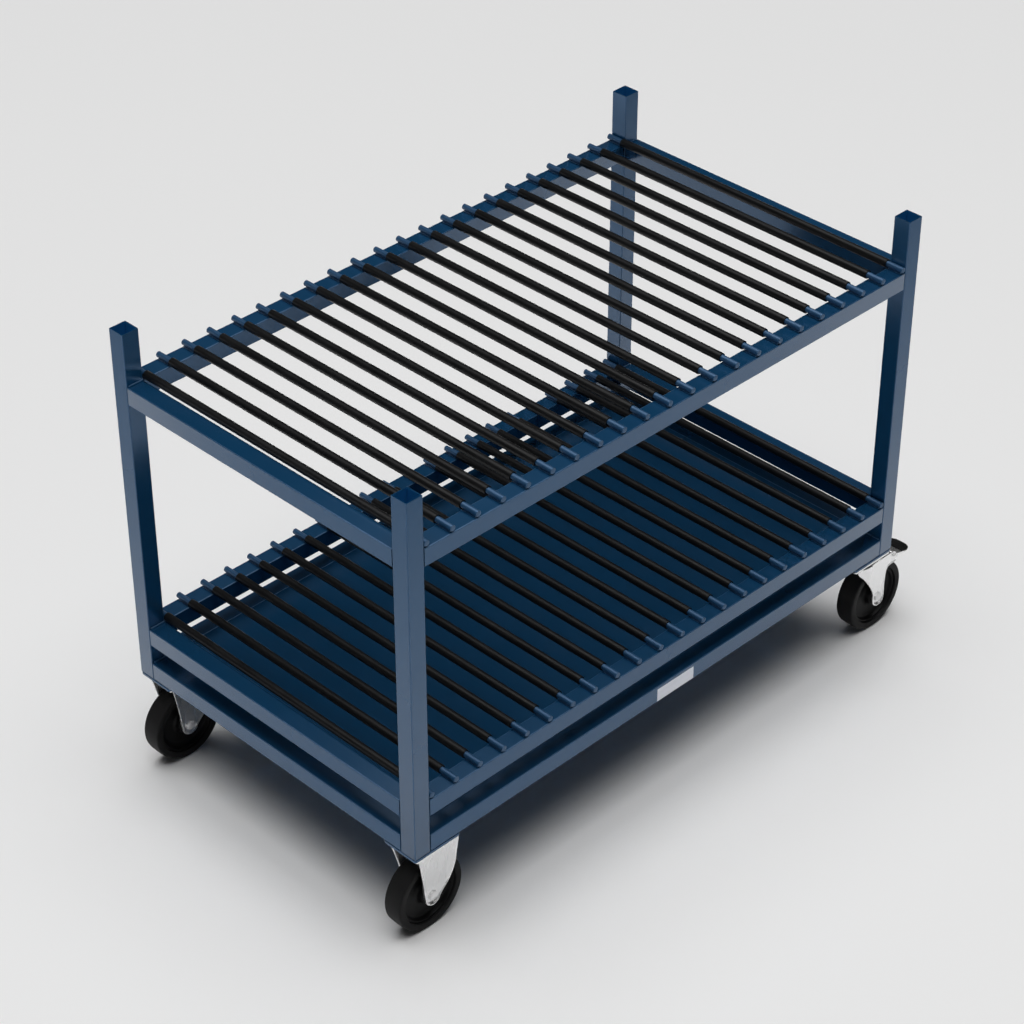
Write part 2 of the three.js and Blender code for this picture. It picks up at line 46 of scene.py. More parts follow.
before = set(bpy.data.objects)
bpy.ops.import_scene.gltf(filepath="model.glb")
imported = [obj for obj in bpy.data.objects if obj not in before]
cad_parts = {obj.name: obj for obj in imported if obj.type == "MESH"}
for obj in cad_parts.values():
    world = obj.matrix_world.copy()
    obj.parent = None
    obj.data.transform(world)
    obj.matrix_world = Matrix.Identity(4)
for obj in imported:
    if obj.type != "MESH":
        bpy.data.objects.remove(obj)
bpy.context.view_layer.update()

ENDS = ("front", "rear")
SIDES = ("left", "right")
CORNERS = [f"{end}_{side}" for end in ENDS for side in SIDES]
RACKS = ("upper", "lower")
LEVELS = (*RACKS, "base")
X_AXIS, Y_AXIS, Z_AXIS = 0, 1, 2
ORIGIN = (0, 0, 0)
MERGE_DISTANCE = 1e-6
SHARP_ANGLE = math.radians(32)

# Finishes: the index and tint of the paint's gloss, and the neutral tint of the others
PAINT_IOR = 2.05
PAINT_GLOSS_TINT = (0.46, 0.67, 1.0)
PLAIN_TINT = (1.0, 1.0, 1.0)

# The plain label, from the middle and the underside of the left base rail
LABEL_SHIFT = 0.0195
LABEL_RISE = 0.001
LABEL_SKIN = 0.002

# Nuts and bolt heads: the chamfer's arc as a share of the half width, and the dome's rings as shares of it
CHAMFER_SHARE = 0.94
DOME_SHARES = (0.9, 0.75, 0.55, 0.3)

# Weld beads, as shares of their radius: how far the ripple cuts in, how deep a joint's bead is sunk and how
# far in it starts, and how far a rod's beads lie over the rail and beside the rod. Then their points round
# and along.
RIPPLE_DEPTH = 0.22
JOINT_BEAD_SUNK = 0.35
JOINT_BEAD_START = 1.6
ROD_BEAD_RISE = 0.45
ROD_BEAD_SPREAD = 0.75
BEAD_SIDES = 8
ROD_BEAD_STEPS = 26
JOINT_BEAD_STEPS = 96

# Plates and fixings
PLATE_THICKNESS = 0.0097
PLATE_CORNER = 0.006
PLATE_CORNER_STEPS = 6
PLATE_EASE = 0.0008
FIXING_RADIUS = 0.005
FIXING_BORE = 0.0045
FIXING_ACROSS = 0.016
FIXING_NUT_HEIGHT = 0.008
FIXING_END = 0.002
FIXING_EDGE = 0.0175
FIXING_Y = 0.0285

# Shares of the legs' edges: across by half the rigid caster's plate or the swivel's trail, and up by the
# leg's height
RIGID_FRONT_SHARES = ((-0.47, 0.28), (-0.57, 0.52), (-0.68, 0.74), (-0.84, 1.0))
RIGID_REAR_SHARES = ((0.82, 0.15), (0.99, 0.42), (1.0, 0.68), (1.0, 1.0))
SWIVEL_FRONT_SHARES = ((0.53, 0.2), (0.15, 0.5), (-0.24, 0.73), (-0.6, 0.9), (-0.75, 1.0))
SWIVEL_REAR_SHARES = ((1.4, 0.2), (1.36, 0.42), (1.37, 0.58), (1.5, 0.67), (1.92, 0.68), (2.0, 0.8),
                      (1.78, 0.96), (1.5, 1.0))

# The legs' feet and other measures, and the points along a foot and along an edge
RIGID_PLATE_SETBACK = 0.0045
RIGID_REAR_SWEEP = math.radians(58)
FOOT_RADIUS = 0.027
TOP_SETBACK = 0.003
RUNNING_GAP = 0.0004
FOOT_STEPS = 14
EDGE_STEPS = 48

# The legs' lips: their depth at the foot and the top, and the shares of the height between which it changes
FOOT_LIP = 0.0058
TOP_LIP = 0.0014
FRONT_LIP_SHARES = (0.25, 0.7)
REAR_LIP_SHARES = (-0.22, 0.0)

# The swivel casters' crown, ball race, dark ring of painted shadow and kingpin
CROWN_THICKNESS = 0.005
CROWN_RADIUS = 0.05
CROWN_HALF_WIDTH = 0.046
CROWN_DISH = 0.0025
PAINTED_SHADOW_RING_RADIUS = 0.0465
RACE_BORE = 0.014
RACE_GROOVE = 0.003
KINGPIN_RADIUS = 0.009
KINGPIN_HEAD_RADIUS = 0.014
KINGPIN_HEAD_HEIGHT = 0.003
KINGPIN_NUT_HEIGHT = 0.008
KINGPIN_NUT_ACROSS = 0.027

# Wheels
TYRE_DEPTH = 0.0206
TYRE_SHOULDER = 0.0045
TYRE_LIP = 0.001
TREAD_FALL = 0.0008
RIM_DEPTH = 0.0208
RIM_SETBACK = 0.0065
RIM_WALL = 0.006
HUB_BORE = 0.0156
HUB_RADIUS = 0.026
HUB_STEP = 0.003
HUB_STEP_DEPTH = 0.004
WEB_ROOT = (0.032, 0.012)
WEB_START = (0.038, 0.0075)
WEB_END_DEPTH = 0.018
WEB_FOOT_DEPTH = 0.009
WEB_FOOT_HALF = 0.011
CENTRE_EASE = 0.0025
BEARING_RADIUS = 0.0152
BEARING_BORE = 0.0084
BEARING_RING = 0.0018
BEARING_CHAMFER = 0.0004
BEARING_SHIELD_DEPTH = 0.0012
BEARING_EASE = 0.0002
AXLE_RADIUS = 0.008
AXLE_EASE = 0.001
AXLE_HEAD_HEIGHT = 0.007
AXLE_HEAD_DOME = 0.0016
AXLE_NUT_GAP = 0.0002

# Brake pedals and their pins
PEDAL_HALF_THICKNESS = 0.005
LEVER_THICKNESS = 0.0038
LEVER_EASE = 0.0006
PEDAL_TIP_SHARE = 0.79
PAD_START_SHARE = 0.49
PAD_EASE = 0.0016
BOSS_BORE = 0.0043
BOSS_RADIUS = 0.009
BOSS_EASE = 0.001
BAR_COUNT = 7
BAR_HEIGHT = 0.0012
BAR_HALF = 0.0018
BAR_CORNER = BAR_HALF * 0.9
BAR_EASE = 0.0005
BAR_MARGIN = 0.006
PIN_RADIUS = 0.004
PIN_HEAD_RADIUS = 0.007
PIN_DOME = 0.0025

# The photograph's view is along (1, 1, -1), so its elevation is 35.26 degrees. The aim is a point over the
# middle of the frame, above the base ring's underside.
CAMERA_AIM = (0.0, 0.0570, 0.2834)
CAMERA_DISTANCE = 7.4714
CAMERA_LENS = 100.0
CAMERA_SENSOR = 36.0
FLOOR_REACH = 60.0

# How bright the dome is at each height of a direction, from 0 at the horizon to 1 overhead
CEILING_STOPS = ((0.0, 0.0), (0.6, 0.0), (0.84, 0.02), (0.93, 0.95), (1.0, 1.0))
CEILING_LEVEL = 4.15
BAND_STOPS = ((0.0, 1.0), (0.06, 0.9), (0.1, 0.1), (0.16, 0.0), (1.0, 0.0))
BAND_DIRECTION = (-0.95, -0.2, 0.0)
BAND_LEVELS = (0.3, 2.8)


def low(node):
    """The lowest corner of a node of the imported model."""
    return np.array(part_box(node)[0])


def high(node):
    """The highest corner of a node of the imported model."""
    return np.array(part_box(node)[1])


def middle(node):
    """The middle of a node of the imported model."""
    return (low(node) + high(node)) / 2


def half_size(node):
    """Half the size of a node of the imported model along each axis."""
    return (high(node) - low(node)) / 2


def span(node, axis):
    """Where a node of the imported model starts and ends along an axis."""
    return low(node)[axis], high(node)[axis]


# Surfaces. A shape is a pair: an array of points, and an array of the four corners of each face.

def surface(grid, wrap_rows=False, wrap_columns=False):
    """The shape of a grid of points (rows, columns, 3): faces join each point to its next row and column."""
    rows, columns = grid.shape[:2]
    r = np.arange(rows if wrap_rows else rows - 1)[:, None]
    c = np.arange(columns if wrap_columns else columns - 1)[None, :]
    row, next_row = r * columns, (r + 1) % rows * columns
    next_c = (c + 1) % columns
    quads = np.stack([row + c, row + next_c, next_row + next_c, next_row + c], -1)
    return grid.reshape(-1, 3), quads.reshape(-1, 4)


def joined(*shapes):
    """Several shapes as one: each keeps its points, and its faces count on from the points before it."""
    starts = np.cumsum([0] + [len(points) for points, _ in shapes[:-1]])
    points = np.concatenate([points for points, _ in shapes])
    return points, np.concatenate([quads + start for (_, quads), start in zip(shapes, starts)])


def copies(shape, offsets):
    """A shape repeated at each offset: point i of copy j is P(i) + offset(j)."""
    points, quads = shape
    offsets = np.asarray(offsets, float)
    moved = points[None, :, :] + offsets[:, None, :]
    faces = quads[None, :, :] + (np.arange(len(offsets)) * len(points))[:, None, None]
    return moved.reshape(-1, 3), faces.reshape(-1, 4)


def along(axis, flat, place):
    """Lays flat points (..., 2) square to an axis at a place on it, along the next two axes."""
    flat = np.asarray(flat, float)
    out = np.zeros(flat.shape[:-1] + (3,))
    out[..., axis] = place
    out[..., (axis + 1) % 3] = flat[..., 0]
    out[..., (axis + 2) % 3] = flat[..., 1]
    return out


def circle(t):
    """Points (cos t, sin t)."""
    return np.stack([np.cos(t), np.sin(t)], -1)


def both_sides(side):
    """A half profile and then its mirror image (u, -v), from the last point back to the first."""
    side = np.asarray(side, float)
    return np.concatenate([side, side[::-1] * (1, -1)])


def rounded_box(half_a, half_b, radius, steps=4, guard=0.0):
    """Points round an oblong with arc corners: corner k is C(k) + r (cos t, sin t), t a quarter turn.

    With a guard, each corner has one more point at that distance before and after its arc, on the flats."""
    corner = np.arange(4)[:, None]
    t = (corner + np.linspace(0, 1, steps + 1)[None, :]) * math.pi / 2
    centres = np.sign(circle((corner + 0.5) * math.pi / 2)) * np.array([half_a - radius, half_b - radius])
    arc = centres + radius * circle(t)
    if guard:
        turn = np.array([[0, -1], [1, 0]])
        before = arc[:, :1] + guard * (circle(t[:, :1]) @ turn)
        after = arc[:, -1:] + guard * (-circle(t[:, -1:]) @ turn)
        arc = np.concatenate([before, arc, after], 1)
    return arc.reshape(-1, 2)


def eased(outline, radius, steps=3, closed=True):
    """An outline with each corner P replaced by the curve (1-t)^2 A + 2t(1-t) P + t^2 B.

    A and B are the points on its sides at a radius from it, or halfway if a side is short."""
    points = np.asarray(outline, float)
    before, after = np.roll(points, 1, 0), np.roll(points, -1, 0)
    back, ahead = before - points, after - points
    back_length = np.linalg.norm(back, axis=1, keepdims=True)
    ahead_length = np.linalg.norm(ahead, axis=1, keepdims=True)
    cut = np.minimum(radius, np.minimum(back_length, ahead_length) / 2)
    a, b = points + back / back_length * cut, points + ahead / ahead_length * cut
    t = np.linspace(0, 1, steps + 1)[None, :, None]
    curve = (1 - t) ** 2 * a[:, None] + 2 * t * (1 - t) * points[:, None] + t ** 2 * b[:, None]
    if closed:
        return curve.reshape(-1, 2)
    return np.concatenate([points[:1], curve[1:-1].reshape(-1, 2), points[-1:]])


def bar_profile(radius, start, end, ease):
    """The half profile of a round bar between two places, with eased rims."""
    return eased([(0, start), (radius, start), (radius, end), (0, end)], ease, closed=False)


def ring_profile(bore, outer, start, end, ease):
    """The profile of a plain ring between two places, with eased corners."""
    return eased([(bore, start), (outer, start), (outer, end), (bore, end)], ease)


def turned(profile, centre, axis, sides, closed=False):
    """A profile of (radius, place) points turned round: P = centre + place axis + radius (cos t, sin t)."""
    profile = np.asarray(profile, float)
    t = np.linspace(0, 2 * math.pi, sides, endpoint=False)
    flat = profile[:, None, :1] * circle(t)[None]
    grid = along(axis, flat, profile[:, None, 1]) + np.asarray(centre, float)
    return surface(grid, wrap_rows=closed, wrap_columns=True)


def hex_head(centre, axis, across, height, bore=0.0, sides=48, dome=0.0):
    """A hexagon with a chamfer: the edge's height is h - (R(t) - r) tan 30, so each flat ends in an arc.

    R(t), from the middle to the edge in direction t, is (across / 2) / cos(t from the nearest flat). It
    stands on the centre, and a negative height turns it the other way. A bore goes right through. A dome of
    height d rises inside the arc: at the share s of the arc's radius it stands d (1 - s^2) higher."""
    t = np.linspace(0, 2 * math.pi, sides, endpoint=False)
    radius = across / 2 / np.cos((t % (math.pi / 3)) - math.pi / 6)
    crown = CHAMFER_SHARE * across / 2
    way = math.copysign(1, height)
    chamfer = height - way * (radius - crown) * math.tan(math.radians(30))
    rings = [(np.full_like(t, bore), 0), (radius, 0), (radius, chamfer), (np.full_like(t, crown), height)]
    if dome:
        for s in DOME_SHARES:
            rings.append((np.full_like(t, crown * s), height + way * dome * (1 - s * s)))
    rings.append((np.full_like(t, bore), height + way * dome))
    grid = np.stack([along(axis, r[:, None] * circle(t), h) for r, h in rings]) + np.asarray(centre, float)
    return surface(grid, wrap_rows=bore > 0, wrap_columns=True)


def plate(outline, axis, start, end, ease, steps=3):
    """A flat plate whose rims are rounded: drawn in by e (1 - sin a) at e (1 - cos a) from either face."""
    outline = np.asarray(outline, float)
    centre = (outline.max(0) + outline.min(0)) / 2
    reach = np.abs(outline - centre).max(0)
    a = np.linspace(0, math.pi / 2, steps + 1)
    inset = np.concatenate([ease * (1 - np.sin(a)), ease * (1 - np.cos(a))])
    rise = np.concatenate([ease * (1 - np.cos(a)), (end - start) - ease * (1 - np.sin(a))])
    scale = 1 - inset[:, None, None] / reach
    grid = along(axis, centre + (outline - centre)[None] * scale, (start + rise)[:, None])
    flat = np.broadcast_to(centre, outline.shape)
    bottom, top = along(axis, flat, start), along(axis, flat, end)
    return surface(np.concatenate([bottom[None], grid, top[None]]), wrap_columns=True)


def square_tube(axis, start, end, centre, half, wall, radius):
    """An open square tube: rounded squares along the outside, over the rim and back along the bore."""
    rim = radius / 4
    guard = radius / 2
    outer = rounded_box(half, half, radius, guard=guard)
    edge = rounded_box(half - rim / 2, half - rim / 2, radius - rim / 2, guard=guard)
    inner = rounded_box(half - wall, half - wall, radius / 2, guard=guard)
    rings = [(outer, start + rim), (outer, end - rim), (edge, end), (inner, end), (inner, end - rim),
             (inner, start + rim), (inner, start), (edge, start)]
    grid = np.stack([along(axis, section + np.asarray(centre), place) for section, place in rings])
    return surface(grid, wrap_rows=True, wrap_columns=True)


def tube_masks():
    """Masks in the order of square_tube's rings: 1 on the arc points of its outside, and 1 on its bore,
    where painted light lightens the paint.
    """
    arcs = np.tile(np.array([0, 1, 1, 1, 1, 1, 0], float), 4)
    none = np.zeros_like(arcs)
    return {"edge": np.concatenate([arcs, arcs, arcs, none, none, none, none, arcs]),
            "bore": np.concatenate([none, none, none, none, none + 1, none + 1, none, none])}


def lengths_along(line):
    """How far along a line of points each of them is."""
    return np.concatenate([[0], np.cumsum(np.linalg.norm(np.diff(line, axis=0), axis=1))])


def weld_bead(path, radius, ripple, across):
    """A bead of weld along a flat path: P = C(s) + r(s) (cos t N + sin t B), closed at its ends.

    The radius r is rippled by 1 - d sin^2 (pi s / ripple), and ends in a quarter circle on both sides."""
    path = np.asarray(path, float)
    step = np.gradient(path, axis=0)
    tangent = step / np.linalg.norm(step, axis=1, keepdims=True)
    binormal = np.asarray(across, float)
    normal = np.cross(tangent, binormal)
    length = lengths_along(path)
    swell = 1 - RIPPLE_DEPTH * np.sin(math.pi * length / ripple) ** 2
    taper = np.clip(np.minimum(length, length[-1] - length) / radius, 0, 1)
    r = radius * swell * np.sqrt(1 - (1 - taper) ** 2)
    t = np.linspace(0, 2 * math.pi, BEAD_SIDES, endpoint=False)
    around = np.cos(t)[None, :, None] * normal[:, None] + np.sin(t)[None, :, None] * binormal
    return surface(path[:, None] + r[:, None, None] * around, wrap_columns=True)


def smooth_line(points, count):
    """A Catmull-Rom curve through points, spaced evenly: a stretch is a cubic of its four nearest points."""
    p = np.asarray(points, float)
    p = np.concatenate([2 * p[:1] - p[1:2], p, 2 * p[-1:] - p[-2:-1]])
    a, b, c, d = (p[i:len(p) - 3 + i][:, None] for i in range(4))
    t = np.linspace(0, 1, 24, endpoint=False)[None, :, None]
    square, cube = 2 * a - 5 * b + 4 * c - d, 3 * b - a - 3 * c + d
    curve = 0.5 * (2 * b + (c - a) * t + square * t ** 2 + cube * t ** 3)
    return spaced(np.concatenate([curve.reshape(-1, 2), p[-2:-1]]), count)


def spaced(line, count):
    """A line of points set again at even steps of its length."""
    length = lengths_along(line)
    places = np.linspace(0, length[-1], count)
    return np.stack([np.interp(places, length, line[:, i]) for i in range(line.shape[1])], -1)


def pressed_leg(front, rear, inner, front_lip, rear_lip, side, thickness, bend, across_steps=6):
    """A leg pressed from sheet, flanged along both edges, as a closed shell.

    Row k goes from the front edge F(k) to the rear edge R(k). At d in from an edge and h over the wheel's
    side of the sheet a point is (E + d m, side (inner(z) + h)), m being the edge's inward normal. Near an
    edge (d, h) is the quarter circle (b - r cos a, b - r sin a), with r = b on the wheel's side and
    b - thickness on the other."""
    a = np.linspace(0, math.pi / 2, 5)
    ease = thickness / 5
    rows = len(front)

    def inward(chain, sign):
        """The normals of an edge, towards the middle of the sheet."""
        step = np.gradient(chain, axis=0)
        step = step / np.linalg.norm(step, axis=1, keepdims=True)
        return sign * np.stack([step[:, 1], -step[:, 0]], -1)

    def lip_skin(depth, radius):
        """Columns of (d, h) from the lip's edge, round the bend, to the flat of the sheet."""
        d = np.concatenate([[bend - radius], bend - radius * np.cos(a)])
        h = np.broadcast_to(bend - radius * np.sin(a), (rows, len(a)))
        return np.broadcast_to(d, (rows, len(d))), np.concatenate([(depth - ease)[:, None], h], 1)

    def skin(radius):
        """One whole row of the sheet, from lip to lip, as points (x, z) and heights h."""
        d, near_h = lip_skin(front_lip, radius)
        far_h = lip_skin(rear_lip, radius)[1]
        near = front[:, None] + d[..., None] * inward(front, 1)[:, None]
        far = rear[:, None] + d[..., None] * inward(rear, -1)[:, None]
        s = np.linspace(0, 1, across_steps + 2)[None, 1:-1, None]
        between = near[:, -1:] * (1 - s) + far[:, -1:] * s
        flat_h = np.broadcast_to(near_h[:, -1:], (rows, across_steps))
        points = np.concatenate([near, between, far[:, ::-1]], 1)
        return points, np.concatenate([near_h, flat_h, far_h[:, ::-1]], 1)

    def lip_top(chain, sign, lip):
        """The two rounded corners of a lip's edge."""
        d = np.array([ease, thickness - ease])[None, :, None]
        return chain[:, None] + d * inward(chain, sign)[:, None], np.broadcast_to(lip[:, None], (rows, 2))

    (wheel_side, wheel_h), (channel_side, channel_h) = skin(bend), skin(bend - thickness)
    (front_top, front_h), (rear_top, rear_h) = lip_top(front, 1, front_lip), lip_top(rear, -1, rear_lip)
    flat = np.concatenate([wheel_side, rear_top, channel_side[:, ::-1], front_top[:, ::-1]], 1)
    h = np.concatenate([wheel_h, rear_h, channel_h[:, ::-1], front_h[:, ::-1]], 1)
    y = side * (inner(flat[..., 1]) + h)
    grid = np.stack([flat[..., 0], y, flat[..., 1]], -1)
    closing = (grid[-1] + np.roll(grid[-1, ::-1], -2, 0)) / 2
    return surface(np.concatenate([grid, closing[None]]), wrap_columns=True)


# Materials. What several finishes share is a node group, which gives out only values.

def add_node(tree, kind, inputs, **settings):
    """A node with its settings, and with each input given a plain value or linked to a socket."""
    node = tree.nodes.new(kind)
    for name, value in settings.items():
        setattr(node, name, value)
    for label, value in inputs.items():
        if isinstance(value, bpy.types.NodeSocket):
            tree.links.new(value, node.inputs[label])
        else:
            node.inputs[label].default_value = value
    return node


def math_node(tree, operation, first, second):
    """A Math node fed by sockets or plain numbers."""
    return add_node(tree, "ShaderNodeMath", {0: first, 1: second}, operation=operation).outputs[0]


def ranged(tree, value, from_low, from_high, to_low, to_high):
    """A Map Range node: the value carried smoothly from one range to another."""
    inputs = {"Value": value, "From Min": from_low, "From Max": from_high}
    inputs |= {"To Min": to_low, "To Max": to_high}
    return add_node(tree, "ShaderNodeMapRange", inputs, interpolation_type="SMOOTHSTEP").outputs["Result"]


def noise(tree, vector, scale, detail, roughness=0.5):
    """A Noise Texture read at a vector, with a number or a socket as its scale."""
    inputs = {"Vector": vector, "Scale": scale, "Detail": detail, "Roughness": roughness}
    return add_node(tree, "ShaderNodeTexNoise", inputs).outputs["Fac"]


def new_group(name, outputs, **numbers):
    """An empty node group read at a vector, with its numbers and outputs, and its two ends' sockets."""
    group = bpy.data.node_groups.new(name, "ShaderNodeTree")
    group.interface.new_socket(name="Vector", in_out="INPUT", socket_type="NodeSocketVector")
    for label, value in numbers.items():
        label = label.replace("_", " ")
        socket = group.interface.new_socket(name=label, in_out="INPUT", socket_type="NodeSocketFloat")
        socket.default_value = value
    for label in outputs:
        group.interface.new_socket(name=label, in_out="OUTPUT", socket_type="NodeSocketFloat")
    return group, group.nodes.new("NodeGroupInput").outputs, group.nodes.new("NodeGroupOutput").inputs


def grain_group():
    """Fine grain: a height for bump, and a slow mottle, both from noise."""
    group, given, result = new_group("fine grain", ("Height", "Mottle"), Grain_Scale=900.0, Mottle_Scale=6.0)
    group.links.new(noise(group, given["Vector"], given["Grain Scale"], 2.0), result["Height"])
    group.links.new(noise(group, given["Vector"], given["Mottle Scale"], 4.0), result["Mottle"])


def wear_group():
    """Edge wear: the edge mask broken up by noise, so that it comes and goes along an edge."""
    group, given, result = new_group("edge wear", ("Wear",), Edge=0.0, Amount=0.5)
    patches = ranged(group, noise(group, given["Vector"], 14.0, 5.0, 0.7), 0.42, 0.72, 0.0, 1.0)
    kept = math_node(group, "MULTIPLY", given["Edge"], patches)
    group.links.new(math_node(group, "MULTIPLY", kept, given["Amount"]), result["Wear"])


def dust_group():
    """Settled dust: more where the face looks up, in soft patches."""
    group, given, result = new_group("settled dust", ("Dust",), Up=0.0, Amount=0.1)
    facing = ranged(group, given["Up"], 0.5, 1.0, 0.0, 1.0)
    patches = ranged(group, noise(group, given["Vector"], 9.0, 6.0, 0.6), 0.35, 0.75, 0.2, 1.0)
    both = math_node(group, "MULTIPLY", facing, patches)
    group.links.new(math_node(group, "MULTIPLY", both, given["Amount"]), result["Dust"])


def spangle_group():
    """Zinc's spangle: cells of slightly different shade, softened by noise."""
    group, given, result = new_group("zinc spangle", ("Shade",), Scale=260.0)
    cells = add_node(group, "ShaderNodeTexVoronoi", {"Vector": given["Vector"], "Scale": given["Scale"]})
    split = add_node(group, "ShaderNodeSeparateColor", {"Color": cells.outputs["Color"]})
    both = math_node(group, "ADD", split.outputs[0], noise(group, given["Vector"], 40.0, 3.0))
    group.links.new(math_node(group, "MULTIPLY", both, 0.5), result["Shade"])


class Finish:
    """A material in the making: its node tree, its Principled shader, and the place of its effects."""

    def __init__(self, name, roughness, metallic=0.0, ior=1.5, level=0.5, tint=PLAIN_TINT):
        self.material = bpy.data.materials.new(name)
        self.material.use_nodes = True
        self.tree = self.material.node_tree
        self.shader = self.tree.nodes["Principled BSDF"]
        inputs = {"Roughness": roughness, "Metallic": metallic, "IOR": ior, "Specular IOR Level": level,
                  "Specular Tint": (*tint, 1.0)}
        for label, value in inputs.items():
            self.shader.inputs[label].default_value = value
        self.place = self.tree.nodes.new("ShaderNodeTexCoord").outputs["Object"]

    def effect(self, group, **values):
        """Places a shared effect, with its own numbers or links, and gives its outputs."""
        inputs = {"Vector": self.place} | {label.replace("_", " "): value for label, value in values.items()}
        return add_node(self.tree, "ShaderNodeGroup", inputs, node_tree=bpy.data.node_groups[group]).outputs

    def up(self):
        """How far a face looks up."""
        normal = self.tree.nodes.new("ShaderNodeNewGeometry").outputs["Normal"]
        return add_node(self.tree, "ShaderNodeSeparateXYZ", {0: normal}).outputs["Z"]

    def mask(self, name):
        """A mask that the tubes carry: their rounded edges, or their bore, which takes painted light."""
        return add_node(self.tree, "ShaderNodeAttribute", {}, attribute_name=name).outputs["Fac"]

    def stretched(self, scale):
        """The place on the surface, drawn out along the axes whose scale is small."""
        inputs = {"Vector": self.place, "Scale": scale}
        return add_node(self.tree, "ShaderNodeMapping", inputs).outputs["Vector"]

    def mixed(self, amount, first, second):
        """One colour turning into another by an amount."""
        inputs = {0: amount, 6: first, 7: second}
        return add_node(self.tree, "ShaderNodeMix", inputs, data_type="RGBA").outputs[2]

    def feed(self, label, socket):
        """Feeds one of the shader's inputs."""
        self.tree.links.new(socket, self.shader.inputs[label])

    def bump(self, height, distance, strength):
        """Feeds the normal from a height."""
        inputs = {"Height": height, "Distance": distance, "Strength": strength}
        self.feed("Normal", add_node(self.tree, "ShaderNodeBump", inputs).outputs["Normal"])


def tone(colour, factor=1.0):
    """A colour with its alpha, made lighter or darker by a factor."""
    return (*(min(1.0, part * factor) for part in colour[:3]), 1.0)


def painted_finish(name, colours, roughness=0.2, ior=PAINT_IOR, tint=PAINT_GLOSS_TINT, label_box=None):
    """Powder coat: orange peel, a faint mottle, thin dull paint on edges, a little dust on top, and painted
    light inside the tubes' bore.
    """
    finish = Finish(name, roughness=roughness, ior=ior, tint=tint)
    grain = finish.effect("fine grain", Grain_Scale=420.0, Mottle_Scale=5.0)
    wear = finish.effect("edge wear", Edge=finish.mask("edge"), Amount=0.3)
    dust = finish.effect("settled dust", Up=finish.up(), Amount=0.02)
    base = finish.mixed(grain["Mottle"], tone(colours.paint, 0.93), tone(colours.paint, 1.07))
    base = finish.mixed(wear["Wear"], base, tone(colours.paint, 1.4))
    # Painted light: the paint in each tube's bore is made 4.2 times lighter, as if light reached down inside
    # it
    base = finish.mixed(finish.mask("bore"), base, tone(colours.paint, 4.2))
    base = finish.mixed(dust["Dust"], base, tone(colours.dust))
    if label_box is not None:
        base = finish.mixed(inside_box(finish, label_box), base, tone(colours.label))
    finish.feed("Base Color", base)
    smooth = ranged(finish.tree, grain["Mottle"], 0.3, 0.7, roughness - 0.02, roughness + 0.02)
    dull = math_node(finish.tree, "MULTIPLY", finish.mask("edge"), 0.25)
    finish.feed("Roughness", math_node(finish.tree, "ADD", smooth, dull))
    finish.bump(grain["Height"], 0.0001, 0.08)


def inside_box(finish, box):
    """1 inside a box between two corners and 0 outside it."""
    split = add_node(finish.tree, "ShaderNodeSeparateXYZ", {0: finish.place})
    mask = 1.0
    for socket, start, end in zip(split.outputs, *box):
        over = math_node(finish.tree, "GREATER_THAN", socket, float(start))
        under = math_node(finish.tree, "LESS_THAN", socket, float(end))
        mask = math_node(finish.tree, "MULTIPLY", mask, math_node(finish.tree, "MULTIPLY", over, under))
    return mask


def zinc_finish(name, colours, roughness=0.28, metallic=0.92):
    """Zinc plate on pressed steel: spangle, soft streaks where the bath ran down it, and a fine grain."""
    finish = Finish(name, roughness=roughness, metallic=metallic)
    spangle = finish.effect("zinc spangle", Scale=160.0)
    grain = finish.effect("fine grain", Grain_Scale=700.0, Mottle_Scale=18.0)
    streaks = noise(finish.tree, finish.stretched((1.0, 1.0, 0.06)), 42.0, 1.5)
    runs = ranged(finish.tree, streaks, 0.35, 0.7, 0.0, 1.0)
    base = finish.mixed(spangle["Shade"], tone(colours.zinc, 0.97), tone(colours.zinc, 1.03))
    finish.feed("Base Color", finish.mixed(runs, base, tone(colours.zinc, 0.95)))
    finish.feed("Roughness", ranged(finish.tree, runs, 0.0, 1.0, roughness - 0.02, roughness + 0.02))
    finish.bump(grain["Height"], 0.00004, 0.02)


def steel_finish(name, colours):
    """Ground steel: a fine, even mottle and grain."""
    finish = Finish(name, roughness=0.32, metallic=1.0)
    grain = finish.effect("fine grain", Grain_Scale=1200.0, Mottle_Scale=60.0)
    base = finish.mixed(grain["Mottle"], tone(colours.steel, 0.85), tone(colours.steel, 1.15))
    finish.feed("Base Color", base)
    finish.bump(grain["Height"], 0.0002, 0.15)


def moulded_finish(name, colours, colour, roughness, grain_scale, level, dust=0.03):
    """Moulded rubber or plastic: a matt grain, a slow mottle, and dust on what looks up."""
    finish = Finish(name, roughness=roughness, level=level)
    grain = finish.effect("fine grain", Grain_Scale=grain_scale, Mottle_Scale=11.0)
    settled = finish.effect("settled dust", Up=finish.up(), Amount=dust)
    base = finish.mixed(grain["Mottle"], tone(colour, 0.8), tone(colour, 1.25))
    finish.feed("Base Color", finish.mixed(settled["Dust"], base, tone(colours.dust)))
    smooth = ranged(finish.tree, grain["Mottle"], 0.3, 0.7, roughness - 0.06, roughness + 0.06)
    finish.feed("Roughness", smooth)
    finish.bump(grain["Height"], 0.0002, 0.12)


# Pieces

